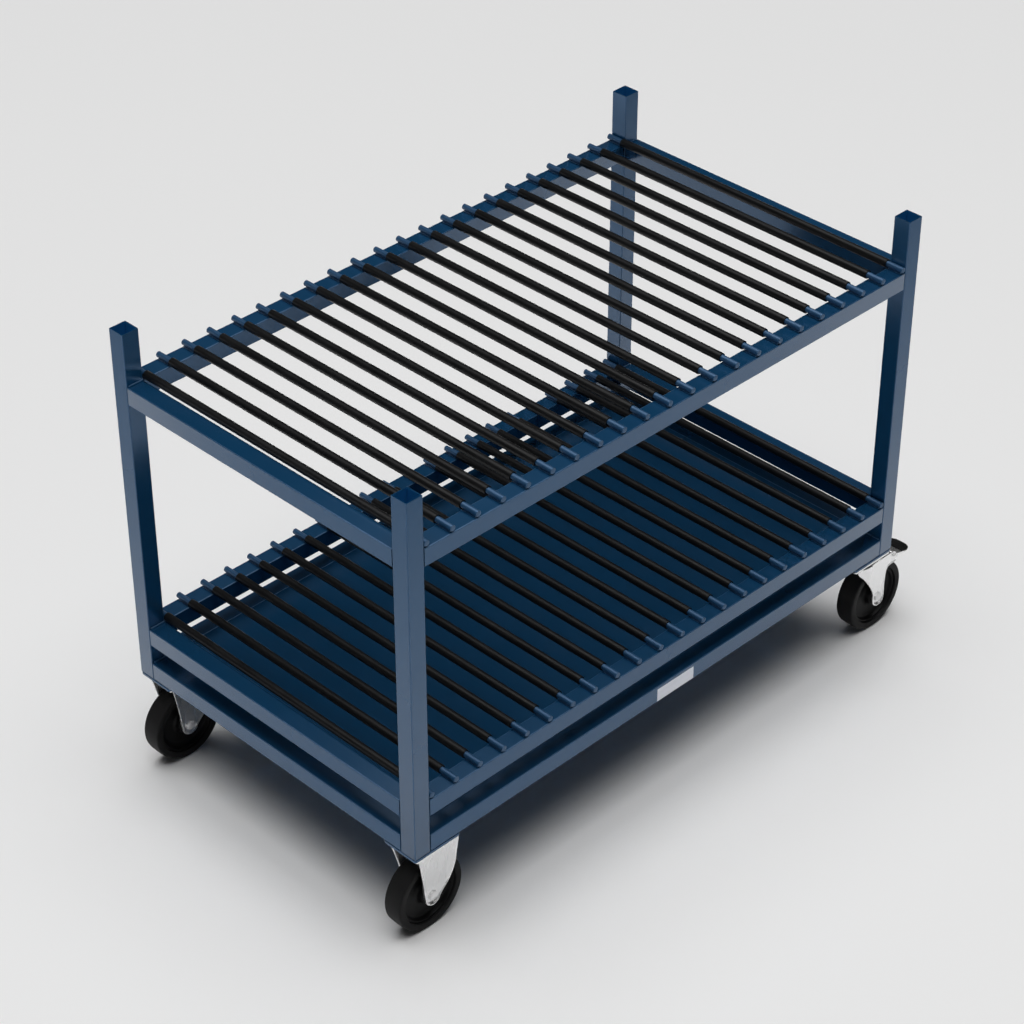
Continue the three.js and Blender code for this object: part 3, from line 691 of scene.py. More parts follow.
def build(name, shape, finish, replaced=(), body="frame", masks=None):
    """Puts a shape into a mesh object that rides on a body, with its faces outwards and shaded by angle."""
    points, quads = shape
    mesh = bpy.data.meshes.new(name)
    mesh.from_pydata(points.tolist(), [], quads.tolist())
    for label, values in (masks or {}).items():
        mesh.attributes.new(label, "FLOAT", "POINT").data.foreach_set("value", values.astype(np.float32))
    work = bmesh.new()
    work.from_mesh(mesh)
    bmesh.ops.remove_doubles(work, verts=work.verts, dist=MERGE_DISTANCE)
    bmesh.ops.dissolve_degenerate(work, edges=work.edges, dist=MERGE_DISTANCE)
    bmesh.ops.recalc_face_normals(work, faces=work.faces)
    work.to_mesh(mesh)
    work.free()
    mesh.shade_smooth()
    mesh.set_sharp_from_angle(angle=SHARP_ANGLE)
    mesh.materials.append(bpy.data.materials[finish])
    piece = bpy.data.objects.new(name, mesh)
    bpy.context.scene.collection.objects.link(piece)
    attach(piece, body)
    if replaced:
        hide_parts(*replaced)


def refinish(node, finish):
    """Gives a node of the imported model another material."""
    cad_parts[node].material_slots[0].material = bpy.data.materials[finish]


def metres(name, default, description):
    """A length that a user may change."""
    return bpy.props.FloatProperty(name=name, description=description, default=default, unit="LENGTH")


def shade(name, default, description):
    """A colour that a user may change."""
    return bpy.props.FloatVectorProperty(
        name=name, description=description, default=default, subtype="COLOR")


class TrolleySizes(bpy.types.PropertyGroup):
    """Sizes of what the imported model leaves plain, in metres."""

    tube_wall: metres("Tube wall", 0.003, "Wall of the square tube")
    tube_corner: metres("Tube corner", 0.0018, "Outer corner radius of the square tube")
    seam: metres("Seam", 0.0018, "Open seam at each end of a rail, and over each corner plate")
    rod_count: bpy.props.IntProperty(name="Rods", description="Rods in each tier", default=22, min=2)
    rod_radius: metres("Rod radius", 0.008, "Radius of the cross rods")
    rod_setback: metres("Rod setback", 0.01, "From the end rail's inner face to the first rod's axis")
    sleeve_radius: metres("Sleeve radius", 0.0115, "Outer radius of the sleeves on the rods")
    sleeve_setback: metres("Sleeve setback", 0.001, "From the side rail's inner face to the sleeve's end")
    bead_radius: metres("Weld bead", 0.0042, "Radius of the beads under the rods' ends")
    joint_bead: metres("Joint bead", 0.0028, "Radius of the beads where rails meet posts")
    ripple: metres("Weld ripple", 0.004, "Spacing of the ripples along a weld")
    label_length: metres("Label length", 0.137, "Length of the plain label on the left base rail")
    label_height: metres("Label height", 0.039, "Height of the plain label")
    leg_thickness: metres("Leg thickness", 0.0036, "Thickness of the casters' pressed legs")
    leg_bend: metres("Leg bend", 0.0042, "Radius of the bend into the legs' lips")
    pedal_tilt: bpy.props.FloatProperty(
        name="Pedal tilt", description="Slope of the released pedal", default=math.radians(15),
        subtype="ANGLE")
    wheel_sides: bpy.props.IntProperty(
        name="Wheel sides", description="Segments round each wheel", default=112, min=24)


class TrolleyColours(bpy.types.PropertyGroup):
    """Colours of the finishes."""

    paint: shade("Paint", (0.0047, 0.0447, 0.1094), "Powder coat of the frame")
    sleeve: shade("Sleeves", (0.0055, 0.0058, 0.0064), "Plastic of the rods' sleeves")
    rubber: shade("Rubber", (0.0060, 0.0060, 0.0064), "Tyres")
    plastic: shade("Plastic", (0.0040, 0.0042, 0.0046), "Wheel centres and pedals")
    zinc: shade("Zinc", (0.97, 0.97, 0.97), "Plating of the casters")
    steel: shade("Steel", (0.42, 0.42, 0.43), "Bearings and races")
    label: shade("Label", (0.95, 0.94, 0.98), "Plain label")
    dust: shade("Dust", (0.16, 0.155, 0.15), "Dust on faces that look up")
    floor: shade("Floor", (0.91, 0.91, 0.91), "Studio floor")


class TROLLEY_OT_finishes(bpy.types.Operator):
    """Makes the node groups and the materials."""

    bl_idname = "trolley.finishes"
    bl_label = "Finishes"

    def execute(self, context):
        colours = context.scene.trolley_colours
        for make in (grain_group, wear_group, dust_group, spangle_group):
            make()
        painted_finish("powder coat", colours)
        label_box = self.label_box(context.scene.trolley_sizes)
        painted_finish("labelled powder coat", colours, label_box=label_box)
        painted_finish("rod powder coat", colours, 0.5)
        painted_finish("deck powder coat", colours, 0.2, 1.5, PLAIN_TINT)
        zinc_finish("zinc plate", colours)
        zinc_finish("dull zinc", colours, 0.42, 0.35)
        steel_finish("ground steel", colours)
        moulded_finish("sleeve plastic", colours, colours.sleeve, 0.4, 650.0, 0.22)
        moulded_finish("tyre rubber", colours, colours.rubber, 0.6, 500.0, 0.18, 0.05)
        moulded_finish("moulded plastic", colours, colours.plastic, 0.45, 800.0, 0.15)
        return {"FINISHED"}

    def label_box(self, sizes):
        """The corners of the label's box, round the outer face of the left base rail."""
        rail = "base_side_rail_left"
        x = middle(rail)[0] + LABEL_SHIFT
        y, z = low(rail)[1], low(rail)[2] + LABEL_RISE
        return ((x - sizes.label_length / 2, y - LABEL_SKIN, z),
                (x + sizes.label_length / 2, y + LABEL_SKIN, z + sizes.label_height))


class TROLLEY_OT_tubes(bpy.types.Operator):
    """Builds the posts and the rails as rounded square tube."""

    bl_idname = "trolley.tubes"
    bl_label = "Posts and rails"

    def execute(self, context):
        sizes = context.scene.trolley_sizes
        for corner in CORNERS:
            self.tube(sizes, f"{corner}_post", Z_AXIS, f"post_{corner}")
        for end in ENDS:
            for level in LEVELS:
                self.tube(sizes, f"{level}_{end}_rail", Y_AXIS, f"{level}_end_rail_{end}")
        for side in SIDES:
            node = f"base_side_rail_{side}"
            finish = "labelled powder coat" if side == "left" else "powder coat"
            self.tube(sizes, f"base_{side}_rail", X_AXIS, node, finish=finish)
            for level in RACKS:
                lift = low(f"{level}_end_rail_front")[2] - low("base_end_rail_front")[2]
                self.tube(sizes, f"{level}_{side}_rail", X_AXIS, node, lift, f"{level}_rack")
        refinish("deck_sheet", "deck powder coat")
        return {"FINISHED"}

    def tube(self, sizes, name, axis, node, lift=0, replaced=None, finish="powder coat"):
        """One tube in a node's box, or lifted over it. A rail stops a seam short of each end of the box."""
        start, end = low(node) + (0, 0, lift), high(node) + (0, 0, lift)
        across = [(axis + 1) % 3, (axis + 2) % 3]
        half = (end - start)[across[0]] / 2
        seam = 0 if axis == Z_AXIS else sizes.seam
        shape = square_tube(axis, start[axis] + seam, end[axis] - seam, (start + end)[across] / 2, half,
                            sizes.tube_wall, sizes.tube_corner)
        build(name, shape, finish, [replaced or node], masks=tube_masks())


class TROLLEY_OT_rods(bpy.types.Operator):
    """Builds the rods, their sleeves and the weld beads under their ends."""

    bl_idname = "trolley.rods"
    bl_label = "Rods and sleeves"

    def execute(self, context):
        sizes = context.scene.trolley_sizes
        first = high("upper_end_rail_front")[0] + sizes.rod_setback
        last = low("upper_end_rail_rear")[0] - sizes.rod_setback
        places = np.linspace(first, last, sizes.rod_count)
        half = high("upper_rack")[1]
        rail_width = 2 * half_size("base_side_rail_left")[1]
        sleeve_half = half - rail_width - sizes.sleeve_setback
        ease = sizes.rod_radius / 10
        bore = sizes.rod_radius + ease / 4
        rod = turned(bar_profile(sizes.rod_radius, -half, half, ease), ORIGIN, Y_AXIS, sides=24)
        profile = ring_profile(bore, sizes.sleeve_radius, -sleeve_half, sleeve_half, ease)
        sleeve = turned(profile, ORIGIN, Y_AXIS, sides=28, closed=True)
        for level in RACKS:
            node = f"{level}_rack"
            top = high(f"{level}_end_rail_front")[2]
            offsets = [(x, 0, top + sizes.sleeve_radius) for x in places]
            beads = self.beads(sizes, places, half, rail_width, top)
            build(f"{level}_rods", copies(rod, offsets), "rod powder coat", [node])
            build(f"{level}_sleeves", copies(sleeve, offsets), "sleeve plastic", [node])
            build(f"{level}_rod_welds", beads, "rod powder coat", [node])
        return {"FINISHED"}

    def beads(self, sizes, places, half, rail_width, top):
        """Two beads along each rod's end, one on each side of its foot."""
        margin = rail_width / 12
        y = np.linspace(half - rail_width + margin, half - margin, ROD_BEAD_STEPS)
        height = top + sizes.bead_radius * ROD_BEAD_RISE
        path = np.stack([np.zeros_like(y), y, np.full_like(y, height)], -1)
        spread = sizes.bead_radius * ROD_BEAD_SPREAD
        offsets = [(x + sign * spread, 0, 0) for x in places for sign in (-1, 1)]
        both = (path, path * (1, -1, 1))
        beads = [weld_bead(line, sizes.bead_radius, sizes.ripple, (0, 0, 1)) for line in both]
        return joined(*(copies(bead, offsets) for bead in beads))


class TROLLEY_OT_frame_welds(bpy.types.Operator):
    """Builds the weld beads where the rails meet the posts."""

    bl_idname = "trolley.frame_welds"
    bl_label = "Frame welds"

    def execute(self, context):
        sizes = context.scene.trolley_sizes
        sunk = sizes.joint_bead * JOINT_BEAD_SUNK
        for level in LEVELS:
            beads = []
            for corner in CORNERS:
                signs = np.sign(middle(f"post_{corner}")[:2])
                post_low, post_high = low(f"post_{corner}")[:2], high(f"post_{corner}")[:2]
                inner = np.where(signs < 0, post_high, post_low)
                outer = np.where(signs < 0, post_low, post_high)
                rail = f"{level}_end_rail_{corner.split('_')[0]}"
                for axis in (X_AXIS, Y_AXIS):
                    place = (inner - signs * sunk)[axis]
                    ends = outer[1 - axis], inner[1 - axis], high(rail)[2], low(rail)[2]
                    beads.append(self.bead(sizes, sunk, axis, place, *ends))
            build(f"{level}_frame_welds", joined(*beads), "rod powder coat")
        return {"FINISHED"}

    def bead(self, sizes, sunk, axis, place, outer, inner, top, bottom):
        """One bead round three sides of a rail's end: over its top, down its inner side and back under."""
        start = outer + math.copysign(sizes.joint_bead * JOINT_BEAD_START, inner - outer)
        side = inner + math.copysign(sunk, inner - outer)
        corners = [(start, top + sunk), (side, top + sunk), (side, bottom - sunk), (start, bottom - sunk)]
        line = spaced(eased(corners, sizes.joint_bead, closed=False), JOINT_BEAD_STEPS)
        path = np.zeros((len(line), 3))
        path[:, axis] = place
        path[:, 1 - axis], path[:, 2] = line.T
        return weld_bead(path, sizes.joint_bead, sizes.ripple, np.eye(3)[axis])


def plate_outline(half, centre):
    """The outline of a plate with round corners, from its half sizes and its middle."""
    return rounded_box(*half[:2], PLATE_CORNER, PLATE_CORNER_STEPS) + centre[:2]


class TROLLEY_OT_corner_plates(bpy.types.Operator):
    """Builds the plates under the corners with their studs and nuts, and the swivel casters' own plates."""

    bl_idname = "trolley.corner_plates"
    bl_label = "Corner plates"

    def execute(self, context):
        seam = context.scene.trolley_sizes.seam
        for corner in CORNERS:
            node = f"mounting_plate_{corner}"
            top = high(node)[2]
            outline = plate_outline(half_size(node), middle(node))
            pad = plate(outline, Z_AXIS, top - PLATE_THICKNESS, top - seam, PLATE_EASE)
            build(f"{corner}_corner_plate", pad, "powder coat", [node])
            self.fixings(corner, node, top - PLATE_THICKNESS)
        for side in SIDES:
            node = f"caster_plate_rear_{side}"
            outline = plate_outline(half_size(node), middle(node))
            shape = plate(outline, Z_AXIS, *span(node, Z_AXIS), PLATE_EASE)
            build(f"rear_{side}_top_plate", shape, "zinc plate", [node])
        return {"FINISHED"}

    def fixings(self, corner, node, plate_bottom):
        """The four studs and their nuts, below the caster's plate."""
        bottom = low(node)[2]
        x, y, _ = middle(node)
        reach = half_size("caster_plate_rear_left")[0] - FIXING_EDGE
        profile = bar_profile(FIXING_RADIUS, bottom, plate_bottom, FIXING_RADIUS / 6)
        nut_top = (0, 0, bottom + FIXING_END + FIXING_NUT_HEIGHT)
        nut = hex_head(nut_top, Z_AXIS, FIXING_ACROSS, -FIXING_NUT_HEIGHT, FIXING_BORE, sides=24)
        offsets = [(x + sx * reach, y + sy * FIXING_Y, 0) for sx in (-1, 1) for sy in (-1, 1)]
        shape = copies(joined(turned(profile, ORIGIN, Z_AXIS, sides=16), nut), offsets)
        build(f"{corner}_fixings", shape, "dull zinc", [node])


def leg_chain(axle, shares, unit, top, origin_x, direction, sweep=math.pi / 2):
    """One edge of a leg from the bottom of its foot up: a part of the foot's circle, then a smooth curve."""
    axle_x, _, axle_z = axle
    t = math.radians(270) + direction * np.linspace(0, sweep, FOOT_STEPS)
    foot = (axle_x, axle_z) + FOOT_RADIUS * circle(t)
    points = [foot[-1]] + [(origin_x + x * unit, axle_z + up * (top - axle_z)) for x, up in shares]
    return np.concatenate([foot, smooth_line(points, EDGE_STEPS)[1:]])


def legs(context, corner, front, rear, top, top_outer):
    """Both legs of a caster, from its wheel's hub out to the top."""
    thickness, bend = context.scene.trolley_sizes.leg_thickness, context.scene.trolley_sizes.leg_bend
    wheel = middle(f"tyre_{corner}")
    foot_inner = half_size(f"wheel_centre_{corner}")[1] + RUNNING_GAP
    top_inner = top_outer - TOP_SETBACK - thickness
    bend_height = wheel[2] + FOOT_RADIUS
    blend = FOOT_RADIUS / 3

    def inner(z):
        """Half the room between the legs at a height: level past the hub, then sloping out with an ease."""
        over = z - bend_height
        rise = blend * np.logaddexp(0, over / blend * 4) / 4
        return foot_inner + (top_inner - foot_inner) * np.minimum(rise / (top - bend_height), 1)

    def lips(chain, start, end):
        """The lip's depth at each height: deep up to the first share of the leg, shallow from the second."""
        share = np.clip(((chain[:, 1] - wheel[2]) / (top - wheel[2]) - start) / (end - start), 0, 1)
        return thickness + FOOT_LIP + (TOP_LIP - FOOT_LIP) * (share * share * (3 - 2 * share))

    depths = lips(front, *FRONT_LIP_SHARES), lips(rear, *REAR_LIP_SHARES)
    pair = [pressed_leg(front, rear, inner, *depths, side, thickness, bend) for side in (-1, 1)]
    return copies(joined(*pair), [(0, wheel[1], 0)])


class TROLLEY_OT_rigid_casters(bpy.types.Operator):
    """Builds the brackets of the two front casters."""

    bl_idname = "trolley.rigid_casters"
    bl_label = "Rigid casters"

    def execute(self, context):
        for side in SIDES:
            corner = f"front_{side}"
            node = f"caster_bracket_{corner}"
            wheel = middle(f"tyre_{corner}")
            bottom = low(f"caster_plate_rear_{side}")[2]
            top = bottom + PLATE_EASE
            half = half_size(node)[:2]
            x, reach = wheel[0], half[0]
            front = leg_chain(wheel, RIGID_FRONT_SHARES, reach, top, x, -1)
            rear = leg_chain(wheel, RIGID_REAR_SHARES, reach - PLATE_EASE, top, x, 1, RIGID_REAR_SWEEP)
            setback = np.array([RIGID_PLATE_SETBACK / 2, 0])
            outline = plate_outline(half - setback, wheel[:2]) + setback
            top_plate = plate(outline, Z_AXIS, bottom, high(node)[2], PLATE_EASE)
            shape = joined(legs(context, corner, front, rear, top, half[1]), top_plate)
            build(f"{corner}_bracket", shape, "zinc plate", [node])
        return {"FINISHED"}


class TROLLEY_OT_swivel_casters(bpy.types.Operator):
    """Builds the forks, races, rings and kingpins of the two rear casters."""

    bl_idname = "trolley.swivel_casters"
    bl_label = "Swivel casters"

    def execute(self, context):
        for side in SIDES:
            corner = f"rear_{side}"
            body = f"swivel_{corner}"
            node = f"caster_fork_{corner}"
            wheel = middle(f"tyre_{corner}")
            pivot = middle(f"kingpin_{corner}") * (1, 1, 0)
            trail = wheel[0] - pivot[0]
            crown_top = high(node)[2]
            under = crown_top - CROWN_THICKNESS
            top = under + PLATE_EASE
            front = leg_chain(wheel, SWIVEL_FRONT_SHARES, trail, top, pivot[0], -1)
            rear = leg_chain(wheel, SWIVEL_REAR_SHARES, trail, top, pivot[0], 1)
            outline = self.crown_outline(trail) + pivot[:2]
            crown = plate(outline, Z_AXIS, under, crown_top - CROWN_DISH, PLATE_EASE)
            shape = joined(legs(context, corner, front, rear, top, CROWN_HALF_WIDTH), crown)
            build(f"{corner}_fork", shape, "zinc plate", [node], body)
            self.race(corner, body, pivot)
            self.painted_shadow_ring(corner, body, pivot)
            self.kingpin(corner, pivot)
        return {"FINISHED"}

    def crown_outline(self, trail):
        """The crown from above: a round front that runs on into a straight bridge over the wheel."""
        start = math.asin(CROWN_HALF_WIDTH / CROWN_RADIUS)
        front = CROWN_RADIUS * circle(np.linspace(start, 2 * math.pi - start, 40))
        back = SWIVEL_REAR_SHARES[-1][0] * trail
        a = np.linspace(-math.pi / 2, 0, 6)
        corner = (back - PLATE_CORNER, -CROWN_HALF_WIDTH + PLATE_CORNER) + PLATE_CORNER * circle(a)
        return np.concatenate([front, both_sides(corner)])

    def race(self, corner, body, pivot):
        """The ball race: an upper and a lower ring with a groove between them where the balls run."""
        node = f"swivel_race_{corner}"
        bottom, top = span(node, Z_AXIS)
        outer, groove = half_size(node)[0], RACE_GROOVE
        half, mid = (top - bottom) / 2, (top + bottom) / 2
        profile = eased([(RACE_BORE, bottom), (outer - groove / 2, bottom), (outer, bottom + half / 3),
                         (outer, mid - groove / 2), (outer - groove, mid), (outer, mid + groove / 2),
                         (outer, top - half / 3), (outer - groove / 2, top), (RACE_BORE, top)], groove / 3)
        shape = turned(profile, pivot, Z_AXIS, sides=72, closed=True)
        build(f"{corner}_race", shape, "ground steel", [node], body)

    def painted_shadow_ring(self, corner, body, pivot):
        """A dark moulded ring round the race, from the crown up to just under the plate: a painted shadow
        that stands in for the shade under the plate.
        """
        race = f"swivel_race_{corner}"
        bore, outer = half_size(race)[0] + RUNNING_GAP, PAINTED_SHADOW_RING_RADIUS
        bottom, top = low(race)[2] - CROWN_DISH, high(race)[2] - RUNNING_GAP
        slope = (top - bottom) / 5
        corners = [(bore, bottom), (outer, bottom), (outer, top - slope), (outer - slope, top), (bore, top)]
        shape = turned(eased(corners, slope / 2), pivot, Z_AXIS, sides=72, closed=True)
        build(f"{corner}_dust_ring", shape, "moulded plastic", body=body)

    def kingpin(self, corner, pivot):
        """The kingpin: a flat head in the plate, a shank, and a nut under the crown."""
        node = f"kingpin_{corner}"
        start, end = span(node, Z_AXIS)
        foot, neck = start + KINGPIN_NUT_HEIGHT / 3, end - KINGPIN_HEAD_HEIGHT
        radius, head = KINGPIN_RADIUS, KINGPIN_HEAD_RADIUS
        corners = [(0, foot), (radius, foot), (radius, neck), (head, neck), (head, end), (0, end)]
        profile = eased(corners, KINGPIN_HEAD_HEIGHT / 6, closed=False)
        nut_top = pivot + (0, 0, start + KINGPIN_NUT_HEIGHT)
        nut = hex_head(nut_top, Z_AXIS, KINGPIN_NUT_ACROSS, -KINGPIN_NUT_HEIGHT)
        shape = joined(turned(profile, pivot, Z_AXIS, sides=36), nut)
        build(f"{corner}_kingpin", shape, "dull zinc", [node])


class TROLLEY_OT_wheels(bpy.types.Operator):
    """Builds the tyres, wheel centres, bearings and axle bolts."""

    bl_idname = "trolley.wheels"
    bl_label = "Wheels"

    def execute(self, context):
        sides = context.scene.trolley_sizes.wheel_sides
        for corner in CORNERS:
            body = f"wheel_{corner}"
            tyre, centre, bearing = f"tyre_{corner}", f"wheel_centre_{corner}", f"hub_bearing_{corner}"
            shape = turned(self.tyre(tyre), middle(tyre), Y_AXIS, sides, closed=True)
            build(f"{corner}_tyre", shape, "tyre rubber", [tyre], body)
            shape = turned(self.centre(centre, tyre), middle(centre), Y_AXIS, sides, closed=True)
            build(f"{corner}_wheel_centre", shape, "moulded plastic", [centre], body)
            shape = turned(self.bearing(bearing), middle(bearing), Y_AXIS, sides=48, closed=True)
            build(f"{corner}_bearing", shape, "ground steel", [bearing], body)
            self.axle(corner, "frame" if corner.startswith("front") else f"swivel_{corner}")
        return {"FINISHED"}

    def tyre(self, node):
        """The tyre's profile: a gently crowned tread, small round shoulders, flat sides and a bore."""
        half, radius = half_size(node)[1], middle(node)[2]
        bore = radius - TYRE_DEPTH
        lip = TYRE_LIP
        flank = [(bore, half - lip), (bore + lip / 3, half - lip / 3), (bore + lip, half)]
        round_part = circle(np.linspace(0, math.pi / 2, 8))[:, ::-1]
        shoulder = (radius - TREAD_FALL - TYRE_SHOULDER, half - TYRE_SHOULDER) + TYRE_SHOULDER * round_part
        tread = [(radius - TREAD_FALL / 3, half / 2), (radius, half / 6)]
        return both_sides(np.concatenate([flank, shoulder, tread]))

    def centre(self, node, tyre):
        """The wheel centre's profile: a lipped rim, a dished web and a stepped hub."""
        half, rim_half = half_size(node)[1], half_size(tyre)[1] - RIM_SETBACK
        rim = middle(tyre)[2] - RIM_DEPTH
        side = [(HUB_BORE, half), (HUB_RADIUS, half), (HUB_RADIUS + HUB_STEP, half - HUB_STEP_DEPTH),
                WEB_ROOT, WEB_START, (rim - WEB_END_DEPTH, WEB_START[1]),
                (rim - WEB_FOOT_DEPTH, WEB_FOOT_HALF), (rim - RIM_WALL, rim_half), (rim, rim_half)]
        return eased(both_sides(side), CENTRE_EASE)

    def bearing(self, node):
        """The hub bearing's profile: an inner ring, a shield a little inside, and an outer ring."""
        half = half_size(node)[1]
        shield = half - BEARING_SHIELD_DEPTH
        inner, outer = BEARING_BORE + BEARING_RING, BEARING_RADIUS - BEARING_RING
        side = [(BEARING_BORE, half), (inner, half), (inner + BEARING_CHAMFER, shield),
                (outer - BEARING_CHAMFER, shield), (outer, half), (BEARING_RADIUS, half)]
        return eased(both_sides(side), BEARING_EASE, steps=2)

    def axle(self, corner, body):
        """The axle's bolt, with a domed head on the left, and its nut on the right."""
        bolt, nut = f"axle_bolt_{corner}", f"axle_nut_{corner}"
        centre = middle(f"tyre_{corner}") * (1, 0, 1)
        start, end = span(bolt, Y_AXIS)
        across = 2 * half_size(nut)[0]
        head, dome = AXLE_HEAD_HEIGHT, AXLE_HEAD_DOME
        shank = turned(bar_profile(AXLE_RADIUS, start + head / 2, end, AXLE_EASE), centre, Y_AXIS, sides=32)
        cap = hex_head(centre + (0, start + head, 0), Y_AXIS, across, dome - head, dome=dome)
        build(f"{corner}_axle_bolt", joined(shank, cap), "dull zinc", [bolt], body)
        start, end = span(nut, Y_AXIS)
        bore = AXLE_RADIUS + AXLE_NUT_GAP
        shape = hex_head(centre + (0, start, 0), Y_AXIS, across, end - start, bore)
        build(f"{corner}_axle_nut", shape, "dull zinc", [nut], body)


class TROLLEY_OT_brakes(bpy.types.Operator):
    """Builds the brake pedals, each a steel lever with a moulded pad, and their pins."""

    bl_idname = "trolley.brakes"
    bl_label = "Brake pedals"

    def execute(self, context):
        tilt = context.scene.trolley_sizes.pedal_tilt
        for side in SIDES:
            corner = f"rear_{side}"
            body = f"pedal_{corner}"
            node = f"brake_pedal_{corner}"
            pin = middle(f"pedal_pin_{corner}")
            half = half_size(node)[1]
            reach = high(node)[0] - pin[0]
            length = (reach - PEDAL_HALF_THICKNESS * math.sin(tilt)) / math.cos(tilt)
            profile = ring_profile(BOSS_BORE, BOSS_RADIUS, -half, half, BOSS_EASE)
            boss = turned(profile, ORIGIN, Y_AXIS, sides=36, closed=True)
            lever = copies(joined(self.tilted(self.lever(length, half), tilt), boss), [pin])
            build(f"{corner}_pedal_lever", lever, "zinc plate", [node], body)
            pad = copies(self.tilted(self.pad(length, half), tilt), [pin])
            build(f"{corner}_pedal_pad", pad, "moulded plastic", [node], body)
            refinish(f"brake_shoe_{corner}", "ground steel")
            self.pin(corner, pin)
        return {"FINISHED"}

    def tilted(self, shape, tilt):
        """A shape turned about the pin: (x, z) goes to (x cos a + z sin a, z cos a - x sin a)."""
        (x, y, z), quads = shape[0].T, shape[1]
        c, s = math.cos(tilt), math.sin(tilt)
        return np.stack([x * c + z * s, y, z * c - x * s], -1), quads

    def outline(self, start, length, half):
        """The pedal from above: square at the pin, with two round outer corners."""
        tip = half * PEDAL_TIP_SHARE
        corner = (length - tip, -half + tip) + tip * circle(np.linspace(-math.pi / 2, 0, 14))
        return np.concatenate([both_sides(corner), [(start, half), (start, -half)]])

    def lever(self, length, half):
        """The steel plate under the pad."""
        start = -PEDAL_HALF_THICKNESS
        return plate(self.outline(0.0, length, half), Z_AXIS, start, start + LEVER_THICKNESS, LEVER_EASE)

    def pad(self, length, half):
        """The moulded pad, with raised bars across its tread that stop short of its round end."""
        bottom, top = LEVER_THICKNESS - PEDAL_HALF_THICKNESS, PEDAL_HALF_THICKNESS
        start = length * PAD_START_SHARE
        tip = half * PEDAL_TIP_SHARE
        parts = [plate(self.outline(start, length, half), Z_AXIS, bottom, top - BAR_HEIGHT, PAD_EASE)]
        for x in np.linspace(start + BAR_MARGIN, length - BAR_MARGIN, BAR_COUNT):
            into_tip = min(max(x + BAR_HALF - (length - tip), 0), tip)
            reach = half - tip + math.sqrt(tip * tip - into_tip * into_tip) - BAR_MARGIN / 2
            outline = rounded_box(BAR_HALF, reach, BAR_CORNER)
            bar = plate(outline, Z_AXIS, top - 2 * BAR_HEIGHT, top, BAR_EASE)
            parts.append(copies(bar, [(x, 0, 0)]))
        return joined(*parts)

    def pin(self, corner, pin):
        """The pedal's pin, with a domed head at each end."""
        node = f"pedal_pin_{corner}"
        shoulder = half_size(node)[1] - PIN_DOME
        dome = (0, shoulder) + circle(np.linspace(0, math.pi / 2, 6))[:, ::-1] * (PIN_HEAD_RADIUS, PIN_DOME)
        shape = turned(both_sides([*dome, (PIN_RADIUS, shoulder)]), pin, Y_AXIS, sides=32)
        build(f"{corner}_pedal_pin", shape, "zinc plate", [node], f"swivel_{corner}")


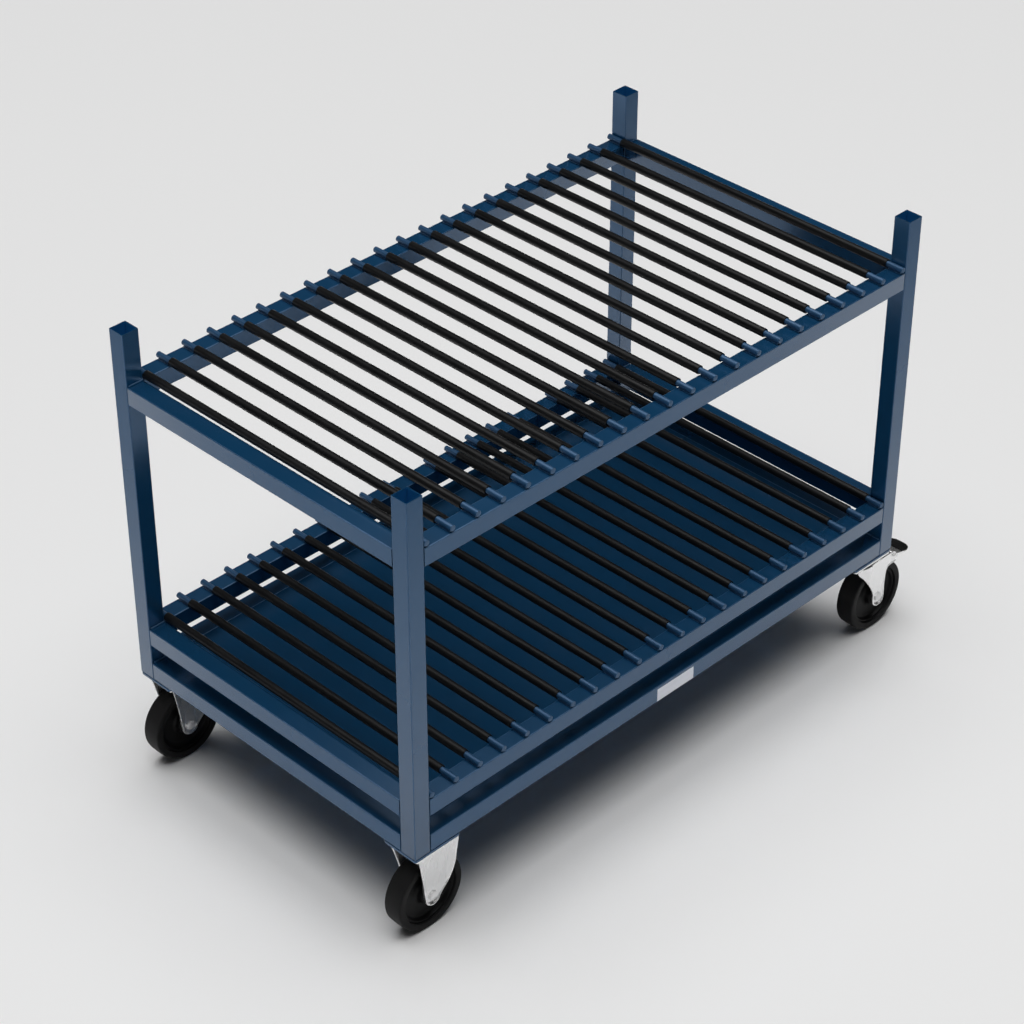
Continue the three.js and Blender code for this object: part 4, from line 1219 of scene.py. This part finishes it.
class TROLLEY_OT_stage(bpy.types.Operator):
    """Sets the floor, the soft light and the camera."""

    bl_idname = "trolley.stage"
    bl_label = "Studio"

    def execute(self, context):
        self.camera(context)
        self.floor(context)
        self.world(context)
        context.scene.view_settings.view_transform = "Standard"
        return {"FINISHED"}

    def camera(self, context):
        """The camera at the photograph's place."""
        data = bpy.data.cameras.new("photograph view")
        data.lens, data.sensor_width = CAMERA_LENS, CAMERA_SENSOR
        data.clip_end = FLOOR_REACH * 3
        camera = bpy.data.objects.new("photograph view", data)
        middle_x = (low("base_end_rail_front")[0] + high("base_end_rail_rear")[0]) / 2
        aim = np.array([middle_x, 0, low("base_end_rail_front")[2]]) + CAMERA_AIM
        back = np.array([-1, -1, 1]) / math.sqrt(3)
        camera.location = aim + CAMERA_DISTANCE * back
        camera.rotation_euler = (math.atan(math.sqrt(2)), 0, math.radians(-45))
        context.scene.collection.objects.link(camera)
        context.scene.camera = camera

    def floor(self, context):
        """A flat floor, far larger than the view."""
        side = np.linspace(-FLOOR_REACH, FLOOR_REACH, 3)
        x, y = np.meshgrid(side, side)
        points, quads = surface(np.stack([x, y, np.zeros_like(x)], -1))
        mesh = bpy.data.meshes.new("floor")
        mesh.from_pydata(points.tolist(), [], quads.tolist())
        finish = Finish("studio floor", roughness=0.07, ior=1.4)
        finish.shader.inputs["Base Color"].default_value = tone(context.scene.trolley_colours.floor)
        mesh.materials.append(finish.material)
        floor = bpy.data.objects.new("floor", mesh)
        context.scene.collection.objects.link(floor)

    def world(self, context):
        """A studio dome: a bright ceiling, dark walls, and a pale band along the floor."""
        world = bpy.data.worlds.new("studio dome")
        world.use_nodes = True
        tree = world.node_tree
        direction = tree.nodes.new("ShaderNodeTexCoord").outputs["Generated"]
        height = add_node(tree, "ShaderNodeSeparateXYZ", {0: direction}).outputs["Z"]
        inputs = {0: direction, 1: BAND_DIRECTION}
        side = add_node(tree, "ShaderNodeVectorMath", inputs, operation="DOT_PRODUCT").outputs["Value"]
        towards = ranged(tree, side, -0.2, 1.0, *BAND_LEVELS)
        ceiling = math_node(tree, "MULTIPLY", self.levels(tree, height, CEILING_STOPS), CEILING_LEVEL)
        band = math_node(tree, "MULTIPLY", self.levels(tree, height, BAND_STOPS), towards)
        background = tree.nodes["Background"]
        background.inputs["Color"].default_value = (1.0, 1.0, 1.0, 1.0)
        tree.links.new(math_node(tree, "ADD", ceiling, band), background.inputs["Strength"])
        context.scene.world = world

    def levels(self, tree, height, stops):
        """A colour ramp over the height of a direction, from (place, level) stops."""
        ramp = add_node(tree, "ShaderNodeValToRGB", {"Fac": height})
        elements = ramp.color_ramp.elements
        for element, (place, level) in zip(elements, (stops[0], stops[-1])):
            element.position, element.color = place, (level, level, level, 1.0)
        for place, level in stops[1:-1]:
            elements.new(place).color = (level, level, level, 1.0)
        return ramp.outputs["Color"]


class TROLLEY_PT_panel(bpy.types.Panel):
    """Lists the trolley's operators, sizes and colours."""

    bl_idname = "TROLLEY_PT_panel"
    bl_label = "Toast Rack Trolley"
    bl_space_type = "VIEW_3D"
    bl_region_type = "UI"
    bl_category = "Trolley"

    def draw(self, context):
        for operator in OPERATORS:
            self.layout.operator(operator.bl_idname)
        for group in (context.scene.trolley_sizes, context.scene.trolley_colours):
            for name in group.__annotations__:
                self.layout.prop(group, name)


OPERATORS = (TROLLEY_OT_finishes, TROLLEY_OT_stage, TROLLEY_OT_tubes, TROLLEY_OT_rods,
             TROLLEY_OT_frame_welds, TROLLEY_OT_corner_plates, TROLLEY_OT_rigid_casters,
             TROLLEY_OT_swivel_casters, TROLLEY_OT_wheels, TROLLEY_OT_brakes)
CLASSES = (TrolleySizes, TrolleyColours, *OPERATORS, TROLLEY_PT_panel)


def register():
    """Registers the add-on's classes and puts its settings on the scene."""
    for item in CLASSES:
        bpy.utils.register_class(item)
    bpy.types.Scene.trolley_sizes = bpy.props.PointerProperty(type=TrolleySizes)
    bpy.types.Scene.trolley_colours = bpy.props.PointerProperty(type=TrolleyColours)


def unregister():
    """Takes the settings and the classes away again."""
    del bpy.types.Scene.trolley_sizes
    del bpy.types.Scene.trolley_colours
    for item in reversed(CLASSES):
        bpy.utils.unregister_class(item)


def main():
    """Builds the whole scene."""
    register()
    for operator in OPERATORS:
        group, name = operator.bl_idname.split(".")
        getattr(getattr(bpy.ops, group), name)()


if __name__ == "__main__":
    main()
